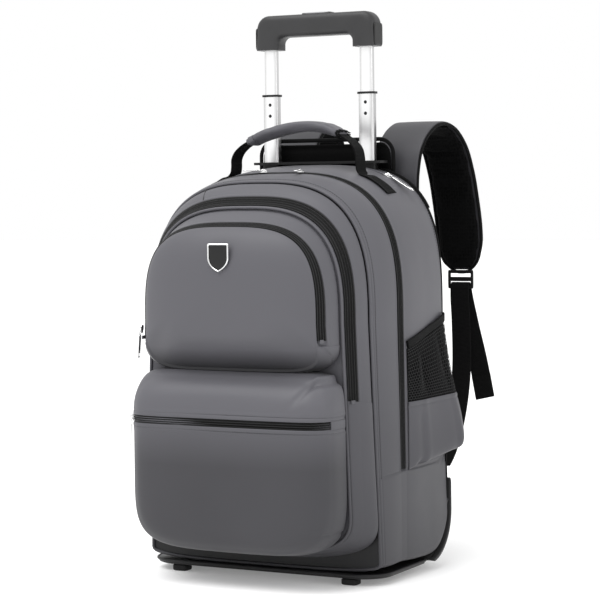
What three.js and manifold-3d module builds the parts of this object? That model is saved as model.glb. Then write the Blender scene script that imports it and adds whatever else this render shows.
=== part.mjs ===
// Wheeled backpack: a soft, zipped bag on a rigid base with two recessed wheels, a two-stage
// telescoping trolley handle, a carry handle, two side pockets and two padded shoulder straps.
// Millimetres. X points to the bag's right as seen from its front, Y to its back, Z up.
// The bag is laid out with Y = 0 at the rear edge of the main compartment and z = 0 on the floor;
// at the end the whole group is moved so that the origin is the middle of the footprint.
import * as THREE from "three";
import { mergeVertices } from "three/addons/utils/BufferGeometryUtils.js";
import Module from "manifold-3d";

const wasm = await Module();
wasm.setup();

// Driving dimensions of the soft bag
const halfWidth = 155; // half the width of the main compartment at shoulder height
const bagHeight = 478; // floor to the flat top where the tubes come out
const shoulderHeight = 300; // where the straight sides turn into the arched top
const mainDepth = 165; // rear edge to the middle piping
const middleDepth = 38; // middle piping to the front piping
const frontDepth = 35; // front piping to the edge of the front panel
const shellDepth = mainDepth + middleDepth + frontDepth;
const wall = 2; // laminated fabric
const seamGap = 0.3; // clearance between sewn pieces

// Undersides
const baseHeight = 16; // floor to the underside of the main compartment
const rearRadius = 52; // rounding of the lower rear corner, seen from the side
const middleFloor = 28; // lowest point of the middle compartment
const frontFloor = 39; // lowest point of the front compartment
const cornerRise = 22; // height of the rounded lower corners

// Zips
const zipMainSetback = 116; // rear edge to the middle of the main zip
const zipWidth = 11;
const zipMiddleSetback = 194;
const zipFrontSetback = 233;
const zipProud = 0.8; // teeth above the fabric
const slotGap = 0.4;
const zipSteps = 24;

// Front pocket and front panel
const creaseHeight = 246; // where the front pocket's top meets the front panel
const panelBulge = 22; // how far the front panel swells past its zip
const pocketDepth = 57; // front compartment's rim to the furthest point of the pocket
const pocketZipHeight = 190;

// Trolley handle
const tubeSpread = 65; // middle plane to each tube's axis
const tubeSetback = 12; // rear edge to the tubes' axis
const sleeveWidth = 23;
const sleeveDepth = 14;
const tubeWall = 1;
const slideGap = 0.5;
const middleTubeTop = 566;
const collarHeight = 2.6;
const middleTubeLength = 400;
const innerTubeTop = 638;
const innerTubeLength = 398;
const gripLegBottom = 620;
const gripTop = 662;
const gripHalf = 81;
const gripDepth = 28;
const legWidth = 31;
const barHeight = 27;

// Wheels and rigid base
const wheelRadius = 30;
const wheelWidth = 22;
const wheelSpread = 118;
const wheelSetback = 12;
const hubRadius = 19;
const axleRadius = 4;
const wheelClearance = 1.5;
const cheek = 5; // housing walls beside the wheel
const runningGap = 0.35;
const plateHeight = 8.3; // floor to the underside of the base plate
const guardThickness = 3.6;
const guardTop = 104;

// Straps and handle
const strapWidth = 60;
const strapThickness = 12;
const webbingWidth = 25;
const webbingThickness = 1.8;
const handleSetback = 70; // rear edge to the carry handle's plane
const handleSpread = 82;
const handleTop = 530;
const padThickness = 14; // back padding

const colours = {
  fabric: { color: 0x6b6b70, roughness: 0.62, metalness: 0 },
  base: { color: 0x58585c, roughness: 0.6, metalness: 0 },
  black: { color: 0x101012, roughness: 0.85, metalness: 0 },
  zip: { color: 0x17171b, roughness: 0.55, metalness: 0 },
  plastic: { color: 0x2c2c2f, roughness: 0.45, metalness: 0 },
  guard: { color: 0x3d3d40, roughness: 0.5, metalness: 0 },
  tube: { color: 0xdfe0e4, roughness: 0.3, metalness: 1 },
  chrome: { color: 0xcfd0d2, roughness: 0.15, metalness: 1 },
  rubber: { color: 0x0c0c0d, roughness: 0.8, metalness: 0 },
};

const bag = new THREE.Group();

function add(name, geometry, look) {
  const mesh = new THREE.Mesh(geometry, new THREE.MeshStandardMaterial(colours[look]));
  mesh.name = name;
  bag.add(mesh);
  return mesh;
}

// Makes a closed geometry from corner points and triangles, with its faces turned outwards.
function closedGeometry(points, triangles) {
  let volume = 0;
  for (const [a, b, c] of triangles) {
    const p = new THREE.Vector3(...points[a]);
    volume += p.dot(new THREE.Vector3(...points[b]).cross(new THREE.Vector3(...points[c])));
  }
  const turned = volume < 0 ? triangles.map(([a, b, c]) => [a, c, b]) : triangles;
  const geometry = new THREE.BufferGeometry();
  geometry.setAttribute("position", new THREE.Float32BufferAttribute(points.flat(), 3));
  geometry.setIndex(turned.flat());
  return geometry;
}

// Skins a row of rings, each with the same number of [x, y, z] points. ends says how it is closed:
// "loop" joins the last ring to the first, as in a hollow band; "fan" closes both ends round their
// middle; "strip" closes them between points k and count - 1 - k, for flat or curved sheets.
function skin(rings, ends) {
  const count = rings[0].length;
  const points = rings.flat();
  const triangles = [];
  const last = ends === "loop" ? rings.length : rings.length - 1;
  for (let i = 0; i < last; i++) {
    const a = i * count;
    const b = ((i + 1) % rings.length) * count;
    for (let k = 0; k < count; k++) {
      const n = (k + 1) % count;
      triangles.push([a + k, a + n, b + n], [a + k, b + n, b + k]);
    }
  }
  if (ends === "strip") {
    for (const [start, end] of [[0, 0], [(rings.length - 1) * count, 1]]) {
      for (let k = 0; k < count / 2 - 1; k++) {
        const [a, b, c, d] = [k, k + 1, count - 2 - k, count - 1 - k].map((i) => start + i);
        if (end) triangles.push([a, b, c], [a, c, d]);
        else triangles.push([a, c, b], [a, d, c]);
      }
    }
  }
  if (ends === "fan") {
    for (const [start, end] of [[0, 0], [(rings.length - 1) * count, 1]]) {
      const ring = points.slice(start, start + count);
      const middle = [0, 1, 2].map((c) => ring.reduce((sum, p) => sum + p[c], 0) / count);
      const apex = points.push(middle) - 1;
      for (let k = 0; k < count; k++) {
        const n = (k + 1) % count;
        triangles.push(end ? [start + k, start + n, apex] : [start + n, start + k, apex]);
      }
    }
  }
  return closedGeometry(points, triangles);
}

function toSolid(geometry) {
  const bare = geometry.clone();
  bare.deleteAttribute("normal");
  bare.deleteAttribute("uv");
  const merged = mergeVertices(bare, 1e-4);
  return new wasm.Manifold(
    new wasm.Mesh({
      numProp: 3,
      vertProperties: merged.attributes.position.array,
      triVerts: new Uint32Array(merged.index.array),
    }),
  );
}

function toGeometry(solid) {
  const mesh = solid.getMesh();
  const geometry = new THREE.BufferGeometry();
  geometry.setAttribute("position", new THREE.Float32BufferAttribute(mesh.vertProperties, 3));
  geometry.setIndex([...mesh.triVerts]);
  return geometry;
}

function cut(geometry, ...cutters) {
  return toGeometry(cutters.reduce((solid, c) => solid.subtract(toSolid(c)), toSolid(geometry)));
}

function join(...geometries) {
  return toGeometry(geometries.map(toSolid).reduce((a, b) => a.add(b)));
}

function box(x0, x1, y0, y1, z0, z1) {
  const geometry = new THREE.BoxGeometry(x1 - x0, y1 - y0, z1 - z0);
  return geometry.translate((x0 + x1) / 2, (y0 + y1) / 2, (z0 + z1) / 2);
}

function mirrored(geometry) {
  const copy = geometry.clone().scale(-1, 1, 1);
  const index = [...(copy.index ? copy.index.array : Array(copy.attributes.position.count).keys())];
  for (let i = 0; i < index.length; i += 3) [index[i + 1], index[i + 2]] = [index[i + 2], index[i + 1]];
  copy.setIndex(index);
  return copy;
}

// Adds a piece on the right side and its mirror image on the left.
function addPair(name, geometry, look) {
  add(`${name}_right`, geometry, look);
  add(`${name}_left`, mirrored(geometry), look);
}

const mix = (a, b, t) => a + (b - a) * t;

// Reads a table row by row: key is the column that runs upwards, and the others are interpolated.
function readTable(table, key, at, column) {
  const last = table.length - 1;
  if (at <= table[0][key]) return table[0][column];
  if (at >= table[last][key]) return table[last][column];
  const i = table.findIndex((row) => row[key] >= at);
  const t = (at - table[i - 1][key]) / (table[i][key] - table[i - 1][key]);
  return mix(table[i - 1][column], table[i][column], t);
}

// The bag's outline from back to front. setback is a share of shellDepth, shoulder and skirt are
// shares of halfWidth (at shoulder height and at the bottom), crown is a share of bagHeight, and
// square is the exponent of the arched top: 2 is an ellipse, higher is squarer.
const outlineTable = [
  { setback: 0, shoulder: 1, skirt: 1.032, crown: 1, square: 3.3 },
  { setback: 0.2, shoulder: 1.006, skirt: 1.032, crown: 0.995, square: 3.2 },
  { setback: 0.462, shoulder: 1.006, skirt: 1.02, crown: 0.983, square: 3 },
  { setback: 0.513, shoulder: 0.994, skirt: 1.012, crown: 0.979, square: 3 },
  { setback: 0.6, shoulder: 0.962, skirt: 0.995, crown: 0.971, square: 2.95 },
  { setback: 0.693, shoulder: 0.91, skirt: 0.97, crown: 0.96, square: 2.9 },
  { setback: 0.798, shoulder: 0.858, skirt: 0.905, crown: 0.923, square: 2.9 },
  { setback: 0.853, shoulder: 0.8, skirt: 0.85, crown: 0.899, square: 2.9 },
  { setback: 0.958, shoulder: 0.755, skirt: 0.82, crown: 0.866, square: 3.1 },
  { setback: 1, shoulder: 0.71, skirt: 0.78, crown: 0.855, square: 3.3 },
];

// Underside of the main compartment, which rises round the rear radius.
function mainUnderside(setback) {
  const inward = setback * shellDepth;
  if (inward >= rearRadius) return baseHeight;
  const drop = Math.sqrt(rearRadius ** 2 - (rearRadius - inward) ** 2);
  return baseHeight + rearRadius - drop;
}

const undersides = {
  main: { floor: mainUnderside, corner: () => cornerRise, square: 3.4 },
  middle: {
    floor: (setback) => mix(middleFloor, frontFloor, (setback * shellDepth - mainDepth) / middleDepth),
    corner: () => 2.1 * cornerRise,
    square: 3,
  },
  front: { floor: () => frontFloor, corner: () => 2.1 * cornerRise, square: 2.8 },
};

// A point of the bag's surface. along is 0 at the top middle, 1 at the shoulder, 2 at the top of
// the lower corner and 3 at the bottom middle, negative on the left. grow moves it outwards.
function surfacePoint(setback, along, under, grow = 0) {
  const read = (column) => readTable(outlineTable, "setback", setback, column);
  const shoulder = read("shoulder") * halfWidth + grow;
  const skirt = read("skirt") * halfWidth + grow;
  const crown = read("crown") * bagHeight + grow;
  const floor = under.floor(setback) - grow;
  const corner = under.floor(setback) + under.corner(setback);
  const side = Math.sign(along) || 1;
  const way = Math.abs(along);
  const y = -setback * shellDepth;
  if (way <= 1) {
    const angle = ((1 - way) * Math.PI) / 2;
    const power = 2 / read("square");
    const x = shoulder * Math.cos(angle) ** power;
    return [side * x, y, shoulderHeight + (crown - shoulderHeight) * Math.sin(angle) ** power];
  }
  if (way <= 2) {
    return [side * mix(shoulder, skirt, way - 1), y, mix(shoulderHeight, corner, way - 1)];
  }
  const angle = ((way - 2) * Math.PI) / 2;
  const power = 2 / under.square;
  const x = skirt * Math.max(0, Math.cos(angle)) ** power;
  return [side * x, y, corner - (corner - floor) * Math.sin(angle) ** power];
}

// Sample stations round the outline, from the bottom middle up the right side and down the left.
const topSteps = 8;
const sideSteps = 2;
const cornerSteps = 4;
const quarter = [
  ...Array.from({ length: topSteps }, (_, i) => (i + 1) / topSteps),
  ...Array.from({ length: sideSteps }, (_, i) => 1 + (i + 1) / sideSteps),
  ...Array.from({ length: cornerSteps }, (_, i) => 2 + (i + 1) / cornerSteps),
];
const stations = [0, ...quarter, ...quarter.slice(0, -1).reverse().map((s) => -s)];

const ringAt = (setback, under, grow) => stations.map((s) => surfacePoint(setback, s, under, grow));

// A hollow band of the bag between two setbacks, open at its front and back.
function band(setbacks, under, thickness) {
  const outer = setbacks.map((s) => ringAt(s, under, 0));
  const inner = [...setbacks].reverse().map((s) => ringAt(s, under, -thickness));
  return skin([...outer, ...inner], "loop");
}

// A strip that follows the bag's surface over the top, from one side to the other: a zip when it
// is as wide as the zip, and its slot when it is grown.
function zipStrip(centre, reach, width, under, outward, inward, steps) {
  const rings = [];
  for (let i = 0; i <= steps; i++) {
    const along = mix(-reach, reach, i / steps);
    const edge = width / 2;
    const at = (offset, grow) => surfacePoint((centre + offset) / shellDepth, along, under, grow);
    rings.push([
      at(-edge, outward * 0.4), at(-edge * 0.3, outward), at(edge * 0.3, outward),
      at(edge, outward * 0.4), at(edge, -inward), at(-edge, -inward),
    ]);
  }
  return skin(rings, "strip");
}

function slotStrip(centre, reach, width, under, steps) {
  const depth = 4 * wall;
  return zipStrip(centre, reach, width + 2 * slotGap, under, depth * 2.5, depth, steps);
}

// Main compartment
const rearRise = [0, 0.04, 0.11, 0.21];
const mainFront = (mainDepth - 2) / shellDepth;
const mainSetbacks = [...rearRise, 0.33, zipMainSetback / shellDepth, mainFront];
const sleeveHole = (side, grow) => {
  const x = side * tubeSpread;
  const w = sleeveWidth / 2 + grow;
  const d = sleeveDepth / 2 + grow;
  return box(x - w, x + w, -tubeSetback - d, -tubeSetback + d, bagHeight / 2, bagHeight * 1.1);
};
const wellHalf = wheelWidth / 2 + wheelClearance + cheek + seamGap;
const wellFront = wheelSetback + wheelRadius + 6;
const wellTop = 2 * wheelRadius + 10;
const wellHole = (side, grow) => {
  const x = side * wheelSpread;
  const reach = wellHalf + grow;
  return box(x - reach, x + reach, -wellFront - grow, wellFront, -10, wellTop + grow);
};
const mainZipReach = 1.653; // ends on the seam across the lower side
const zipRearSetback = 30.5;
const zipRearReach = 0.3;
add(
  "main_gusset",
  cut(
    band(mainSetbacks, undersides.main, wall),
    slotStrip(zipMainSetback, mainZipReach + 0.01, zipWidth, undersides.main, zipSteps),
    slotStrip(zipRearSetback, zipRearReach + 0.01, zipWidth * 0.6, undersides.main, 8),
    sleeveHole(1, seamGap), sleeveHole(-1, seamGap),
    wellHole(1, seamGap), wellHole(-1, seamGap),
  ),
  "fabric",
);
add(
  "zip_main",
  zipStrip(zipMainSetback, mainZipReach, zipWidth, undersides.main, zipProud, wall * 0.7, zipSteps),
  "zip",
);

add(
  "zip_rear",
  zipStrip(zipRearSetback, zipRearReach, zipWidth * 0.6, undersides.main, zipProud, wall * 0.7, 8),
  "zip",
);

// A thin flat panel that closes a compartment: the outline at one setback, drawn in by inset.
function flatPanel(setback, under, inset, y0, y1) {
  const ring = (y) => ringAt(setback, under, -inset).map(([x, , z]) => [x, y, z]);
  return skin([ring(y0), ring(y1)], "fan");
}
const pipingRadius = 2;
const pipingSetback = mainDepth / shellDepth;
const panelInset = pipingRadius + seamGap;
add(
  "main_front_panel",
  flatPanel(pipingSetback, undersides.main, panelInset, -mainDepth - 1, -mainDepth + 1),
  "base",
);
add(
  "back_board",
  cut(
    flatPanel(0, undersides.main, 0, seamGap, seamGap + wall),
    wellHole(1, seamGap), wellHole(-1, seamGap),
  ),
  "black",
);

// Piping: a closed cord that lies in a seam round the outline.
function piping(setback, under, radius, grow) {
  const sides = 5;
  const centre = ringAt(setback, under, grow);
  const rings = centre.map(([x, y, z], i) => {
    const before = centre[(i + centre.length - 1) % centre.length];
    const after = centre[(i + 1) % centre.length];
    const out = new THREE.Vector2(after[2] - before[2], before[0] - after[0]).normalize();
    return Array.from({ length: sides }, (_, k) => {
      const angle = (2 * Math.PI * k) / sides;
      const c = radius * Math.cos(angle);
      return [x + out.x * c, y + radius * Math.sin(angle), z + out.y * c];
    });
  });
  return skin(rings, "loop");
}
add("piping_middle", piping(pipingSetback, undersides.main, pipingRadius - 0.2, 0), "fabric");

// Middle compartment
const middleRear = (mainDepth + 2) / shellDepth;
const middleFront = (mainDepth + middleDepth - 2) / shellDepth;
const middleZipReach = 1.4;
add(
  "middle_gusset",
  cut(
    band([middleRear, zipMiddleSetback / shellDepth, middleFront], undersides.middle, wall),
    slotStrip(zipMiddleSetback, middleZipReach + 0.01, zipWidth, undersides.middle, zipSteps),
  ),
  "fabric",
);
add(
  "zip_middle",
  zipStrip(zipMiddleSetback, middleZipReach, zipWidth, undersides.middle, zipProud, wall * 0.7, zipSteps),
  "zip",
);
const frontPipingSetback = (mainDepth + middleDepth) / shellDepth;
add(
  "middle_front_panel",
  flatPanel(
    frontPipingSetback, undersides.middle, panelInset,
    -mainDepth - middleDepth - 0.8, -mainDepth - middleDepth + 0.8,
  ),
  "fabric",
);
add("piping_front", piping(frontPipingSetback, undersides.middle, pipingRadius - 0.2, 0), "fabric");

// Front compartment: a bowl whose rings run from its rim at the front piping to the middle of the
// swollen front panel. It ends at the crease above the front pocket.
const rim = mainDepth + middleDepth + 2;
const panelCentre = 0.72 * bagHeight;
const smooth = (t) => Math.min(1, Math.max(0, t)) ** 2 * (3 - 2 * Math.min(1, Math.max(0, t)));
// setback in millimetres from the rear edge; shrink draws the outline in towards panelCentre;
// swell is a share of panelBulge; low is how much of the depth is kept along the crease.
const frontShellTable = [
  { setback: rim, shrink: 1, swell: 0, low: 1 },
  { setback: zipFrontSetback - 8, shrink: 1, swell: 0, low: 0.62 },
  { setback: zipFrontSetback + 5, shrink: 1, swell: 0, low: 0.62 },
  { setback: shellDepth, shrink: 0.93, swell: 0.3, low: 0.8 },
  { setback: shellDepth, shrink: 0.78, swell: 0.64, low: 0.92 },
  { setback: shellDepth, shrink: 0.5, swell: 0.92, low: 1 },
  { setback: shellDepth, shrink: 0.2, swell: 1, low: 1 },
];
// Right half of the outline below the shoulder: share of the width, share of the shoulder's
// height above the crease.
const creaseCorner = [
  { x: 1, z: 0.5 }, { x: 1, z: 0.2 }, { x: 0.99, z: 0.07 }, { x: 0.95, z: 0 }, { x: 0.6, z: 0 },
];
function frontShellRing(row, grow) {
  const setback = row.setback / shellDepth;
  const top = Array.from({ length: topSteps + 1 }, (_, i) =>
    surfacePoint(setback, i / topSteps, undersides.front, grow));
  const sideFloor = frontFloor + undersides.front.corner();
  const low = creaseCorner.map(({ x, z }) => {
    const height = mix(creaseHeight + 1 - grow, shoulderHeight, z);
    const along = 1 + (shoulderHeight - height) / (shoulderHeight - sideFloor);
    const [wide, y] = surfacePoint(setback, along, undersides.front, grow);
    return [wide * x, y, height];
  });
  const right = [...top, ...low];
  const bottom = [[0, right[0][1], creaseHeight + 1 - grow]];
  const left = right.slice(1).reverse().map(([x, y, z]) => [-x, y, z]);
  return [...right, ...bottom, ...left].map(([x, , z]) => {
    const pz = panelCentre + (z - panelCentre) * row.shrink;
    const forward = row.setback - rim + row.swell * panelBulge + (row.setback > rim ? grow : 0);
    const kept = mix(row.low, 1, smooth((z - creaseHeight) / 40));
    return [x * row.shrink, -rim - Math.max(0, forward) * kept, pz];
  });
}

// A bowl open at its rim: outer rings from the middle to the rim, then inner rings back again.
function bowl(outer, inner) {
  return skin([...[...outer].reverse(), ...inner], "fan");
}
const frontZipReach = 1.08;
const frontShell = bowl(
  frontShellTable.map((row) => frontShellRing(row, 0)),
  frontShellTable.map((row) => frontShellRing(row, -wall)),
);
add(
  "front_shell",
  cut(
    frontShell,
    slotStrip(zipFrontSetback, frontZipReach + 0.01, zipWidth * 0.8, undersides.front, zipSteps),
  ),
  "fabric",
);
add(
  "zip_front",
  zipStrip(
    zipFrontSetback, frontZipReach, zipWidth * 0.8, undersides.front, zipProud, wall * 0.7, zipSteps,
  ),
  "zip",
);

// Front pocket: a bowl with square upper corners and round lower ones, whose top slopes forwards.
const pocketCentre = (creaseHeight + frontFloor) / 2;
const pocketHalf = (creaseHeight - frontFloor) / 2;
const pocketSteps = 32;
const pocketSquare = { upper: 9, lower: 4.8 }; // exponents of the outline's corners
// forward is a share of pocketDepth; shrink draws the outline in; top is how much of forward is
// kept at the upper edge.
const pocketTable = [
  { forward: 0, shrink: 1, top: 1 },
  { forward: 0.3, shrink: 1.004, top: 0.8 },
  { forward: 0.56, shrink: 0.985, top: 0.7 },
  { forward: 0.78, shrink: 0.93, top: 0.7 },
  { forward: 0.94, shrink: 0.77, top: 0.85 },
  { forward: 1, shrink: 0.3, top: 1 },
];
function pocketPoint(row, angle, grow) {
  const power = 2 / (Math.sin(angle) > 0 ? pocketSquare.upper : pocketSquare.lower);
  const c = Math.cos(angle);
  const s = Math.sin(angle);
  const z = pocketCentre + Math.sign(s) * Math.abs(s) ** power * (pocketHalf + grow) * row.shrink;
  const half = mix(0.85, 0.83, smooth((z - frontFloor) / (creaseHeight - frontFloor)));
  const x = Math.sign(c) * Math.abs(c) ** power * (half * halfWidth + grow) * row.shrink;
  const kept = mix(1, row.top, smooth((z - creaseHeight + 42) / 42));
  return [x, -rim - Math.max(0, row.forward * pocketDepth * kept + (row.forward > 0 ? grow : 0)), z];
}
const pocketTurn = (2 * Math.PI) / pocketSteps;
const pocketRing = (row, grow) =>
  Array.from({ length: pocketSteps }, (_, k) => pocketPoint(row, pocketTurn * k, grow));
// The pocket's zip runs level round its front: stops lie where a row's outline passes the height.
const zipRise = pocketZipHeight - pocketCentre;
const pocketZipRows = pocketTable.slice(1).filter((row) => pocketHalf * row.shrink > zipRise + 4);
const pocketZipPoint = (row) => {
  const sine = (zipRise / (pocketHalf * row.shrink)) ** (pocketSquare.upper / 2);
  return pocketPoint(row, Math.asin(sine), 0);
};
function pocketZipStrip(width, outward, inward, from, to) {
  const right = pocketZipRows.map(pocketZipPoint);
  const line = [...right, ...right.map(([x, y, z]) => [-x, y, z]).reverse()];
  const rings = line.map(([x, y, z], i) => {
    const a = line[Math.max(i - 1, 0)];
    const b = line[Math.min(i + 1, line.length - 1)];
    const out = new THREE.Vector2(a[1] - b[1], b[0] - a[0]).normalize();
    const w = width / 2;
    return [[outward, w], [-inward, w], [-inward, -w], [outward, -w]].map(([o, h]) =>
      [x + out.x * o, y + out.y * o, z + h]);
  });
  return skin(rings.slice(from, rings.length - to), "strip");
}
add(
  "front_pocket",
  cut(
    bowl(
      pocketTable.map((row) => pocketRing(row, 0)),
      pocketTable.map((row) => pocketRing(row, -wall)),
    ),
    pocketZipStrip(zipWidth * 0.8 + 2 * slotGap, 5, 7, 1, 0),
  ),
  "base",
);
function pocketZipEnd(lift) {
  const [x, y, z] = pocketZipPoint(pocketZipRows[1]);
  return [-x - lift, y - lift, z];
}
add("zip_pocket", pocketZipStrip(zipWidth * 0.8, zipProud, wall * 0.7, 1, 0), "zip");

// Base tray under the main compartment, with two feet at the front
function roundedPlate(x, y0, y1, radius, z0, z1) {
  const shape = new THREE.Shape();
  shape.moveTo(-x, y1).lineTo(-x, y0 + radius).quadraticCurveTo(-x, y0, -x + radius, y0);
  shape.lineTo(x - radius, y0).quadraticCurveTo(x, y0, x, y0 + radius).lineTo(x, y1).closePath();
  const settings = { depth: z1 - z0, bevelEnabled: false, curveSegments: 6 };
  return new THREE.ExtrudeGeometry(shape, settings).translate(0, 0, z0);
}
const trayRear = -wellFront - 1.5;
add(
  "base_tray",
  roundedPlate(halfWidth - 2, -mainDepth - 9, trayRear, 34, plateHeight, baseHeight - pipingRadius - seamGap),
  "base",
);
const footSpread = 112;
const footSetback = mainDepth - 2;
addPair(
  "foot",
  box(
    footSpread - 10, footSpread + 10, -footSetback - 8, -footSetback + 8, 0, plateHeight - seamGap,
  ),
  "rubber",
);

// Draws a closed polygon of [y, z] corners and pulls it out along X.
function alongX(corners, x0, x1) {
  const shape = new THREE.Shape(corners.map(([y, z]) => new THREE.Vector2(y, z)));
  const geometry = new THREE.ExtrudeGeometry(shape, { depth: x1 - x0, bevelEnabled: false });
  const turn = new THREE.Matrix4().makeBasis(
    new THREE.Vector3(0, 1, 0), new THREE.Vector3(0, 0, 1), new THREE.Vector3(1, 0, 0),
  );
  return geometry.applyMatrix4(turn).translate(x0, 0, 0);
}

function cylinderX(radius, x0, x1, y, z, sides) {
  const geometry = new THREE.CylinderGeometry(radius, radius, x1 - x0, sides);
  return geometry.rotateZ(-Math.PI / 2).translate((x0 + x1) / 2, y, z);
}

// Wheels, their housings and the skid guards round the lower rear corners
const wheelY = -wheelSetback;
const guardCentre = [-rearRadius, baseHeight + rearRadius];
function arcPoints(radius, from, to, steps) {
  return Array.from({ length: steps + 1 }, (_, i) => {
    const angle = mix(from, to, i / steps);
    return [guardCentre[0] + radius * Math.cos(angle), guardCentre[1] + radius * Math.sin(angle)];
  });
}
const guardOuter = rearRadius + 6.2;
const guardInner = guardOuter - guardThickness;
const housingFront = -wellFront + seamGap;
const housingTop = wellTop - seamGap;
const housingBlank = alongX(
  [
    [housingFront, housingTop], [housingFront, plateHeight + 4],
    ...arcPoints(guardOuter - 0.4, -1.42, 0, 8), [guardOuter - rearRadius - 0.4, housingTop],
  ],
  wheelSpread - wellHalf + seamGap, wheelSpread + wellHalf - seamGap,
);
const wheelInside = wheelSpread - wheelWidth / 2;
const wheelOutside = wheelSpread + wheelWidth / 2;
const wheelRoom = cylinderX(
  wheelRadius + 3, wheelInside - wheelClearance, wheelOutside + wheelClearance, wheelY, wheelRadius, 32,
);
const housing = cut(housingBlank, wheelRoom);
const axle = cylinderX(axleRadius, wheelInside - 4, wheelOutside + 4, wheelY, wheelRadius, 20);
addPair("wheel_housing", join(housing, axle), "plastic");
const guardEnd = -1.42;
const guard = alongX(
  [
    [guardOuter - rearRadius, guardTop], ...arcPoints(guardOuter, 0, guardEnd, 10),
    ...arcPoints(guardInner, guardEnd, 0, 10), [guardInner - rearRadius, guardTop],
  ],
  wheelSpread + wellHalf + seamGap, halfWidth + 8,
);
addPair("skid_guard", guard, "guard");

// A wheel is turned from two profiles of radius and offset along the axle.
function turnedX(profile, sides) {
  const points = [...profile, profile[0]].map(([r, h]) => new THREE.Vector2(r, h));
  const geometry = new THREE.LatheGeometry(points, sides);
  const merged = geometry.clone();
  merged.deleteAttribute("normal");
  merged.deleteAttribute("uv");
  const solid = mergeVertices(merged, 1e-4).rotateZ(-Math.PI / 2);
  solid.translate(wheelSpread, wheelY, wheelRadius);
  const position = solid.attributes.position;
  const corners = Array.from({ length: position.count }, (_, i) =>
    [position.getX(i), position.getY(i), position.getZ(i)]);
  const faces = [];
  for (let i = 0; i < solid.index.count; i += 3) {
    const face = [0, 1, 2].map((k) => solid.index.getX(i + k));
    if (new Set(face).size === 3) faces.push(face);
  }
  return closedGeometry(corners, faces);
}
const half = wheelWidth / 2;
addPair(
  "wheel_tyre",
  turnedX(
    [[hubRadius + 0.2, -half + 2], [wheelRadius - 4, -half], [wheelRadius, -half + 4],
      [wheelRadius, half - 4], [wheelRadius - 4, half], [hubRadius + 0.2, half - 2]], 24),
  "rubber",
);
addPair(
  "wheel_hub",
  turnedX(
    [[axleRadius + runningGap, -half], [axleRadius + 4, -half], [hubRadius, -half + 3],
      [hubRadius, half - 3], [axleRadius + 4, half], [axleRadius + runningGap, half]], 24),
  "plastic",
);

// Trolley handle: fixed sleeves, a middle stage and an inner stage that carries the grip
function roundedRectangle(path, w, d, r) {
  const x = w / 2;
  const y = d / 2;
  path.moveTo(-x + r, -y).lineTo(x - r, -y).quadraticCurveTo(x, -y, x, -y + r);
  path.lineTo(x, y - r).quadraticCurveTo(x, y, x - r, y).lineTo(-x + r, y);
  path.quadraticCurveTo(-x, y, -x, y - r).lineTo(-x, -y + r).quadraticCurveTo(-x, -y, -x + r, -y);
  return path;
}
function tube(width, depth, radius, inside, z0, z1) {
  const shape = roundedRectangle(new THREE.Shape(), width, depth, radius);
  const walls = [width - inside[0], depth - inside[1]].map((v) => v / 2);
  const holeRadius = Math.max(0.6, radius - Math.min(...walls));
  shape.holes.push(roundedRectangle(new THREE.Path(), inside[0], inside[1], holeRadius));
  const settings = { depth: z1 - z0, bevelEnabled: false, curveSegments: 2 };
  return new THREE.ExtrudeGeometry(shape, settings).translate(tubeSpread, -tubeSetback, z0);
}
const middleWidth = sleeveWidth - 2 * tubeWall - 2 * slideGap;
const middleDepthTube = sleeveDepth - 2 * tubeWall - 2 * slideGap;
const innerWidth = middleWidth - 2 * tubeWall - 2 * slideGap;
const innerDepth = middleDepthTube - 2 * tubeWall - 2 * slideGap;
const sleeveBottom = wellTop + 2;
const plateBottom = bagHeight + 2 + seamGap;
const plateTop = plateBottom + 3;
const platformReach = tubeSpread + 23;
function column(width, depth, radius, x, z0, z1) {
  const shape = roundedRectangle(new THREE.Shape(), width, depth, radius);
  const settings = { depth: z1 - z0, bevelEnabled: false, curveSegments: 2 };
  return new THREE.ExtrudeGeometry(shape, settings).translate(x, -tubeSetback, z0);
}
const bore = (x) =>
  column(sleeveWidth - 2 * tubeWall, sleeveDepth - 2 * tubeWall, 2.6, x, sleeveBottom - 5, plateTop + 5);
const sleeve = (x) => column(sleeveWidth, sleeveDepth, 3.5, x, sleeveBottom, plateBottom + 1);
add(
  "trolley_housing",
  cut(
    join(
      column(2 * platformReach, 25, 8, 0, plateBottom, plateTop),
      sleeve(tubeSpread), sleeve(-tubeSpread),
    ),
    bore(tubeSpread), bore(-tubeSpread),
  ),
  "plastic",
);
const middleInside = [middleWidth - 2 * tubeWall, middleDepthTube - 2 * tubeWall];
addPair(
  "trolley_middle",
  tube(middleWidth, middleDepthTube, 3, middleInside, middleTubeTop - middleTubeLength, middleTubeTop),
  "tube",
);
const collarInside = [middleWidth + 0.6, middleDepthTube + 0.6];
addPair(
  "trolley_collar",
  tube(
    middleWidth + 3.2, middleDepthTube + 3.2, 4, collarInside, middleTubeTop - collarHeight, middleTubeTop,
  ),
  "plastic",
);
const innerInside = [innerWidth - 2 * tubeWall, innerDepth - 2 * tubeWall];
addPair(
  "trolley_inner",
  tube(innerWidth, innerDepth, 2.4, innerInside, innerTubeTop - innerTubeLength, innerTubeTop),
  "tube",
);

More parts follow.
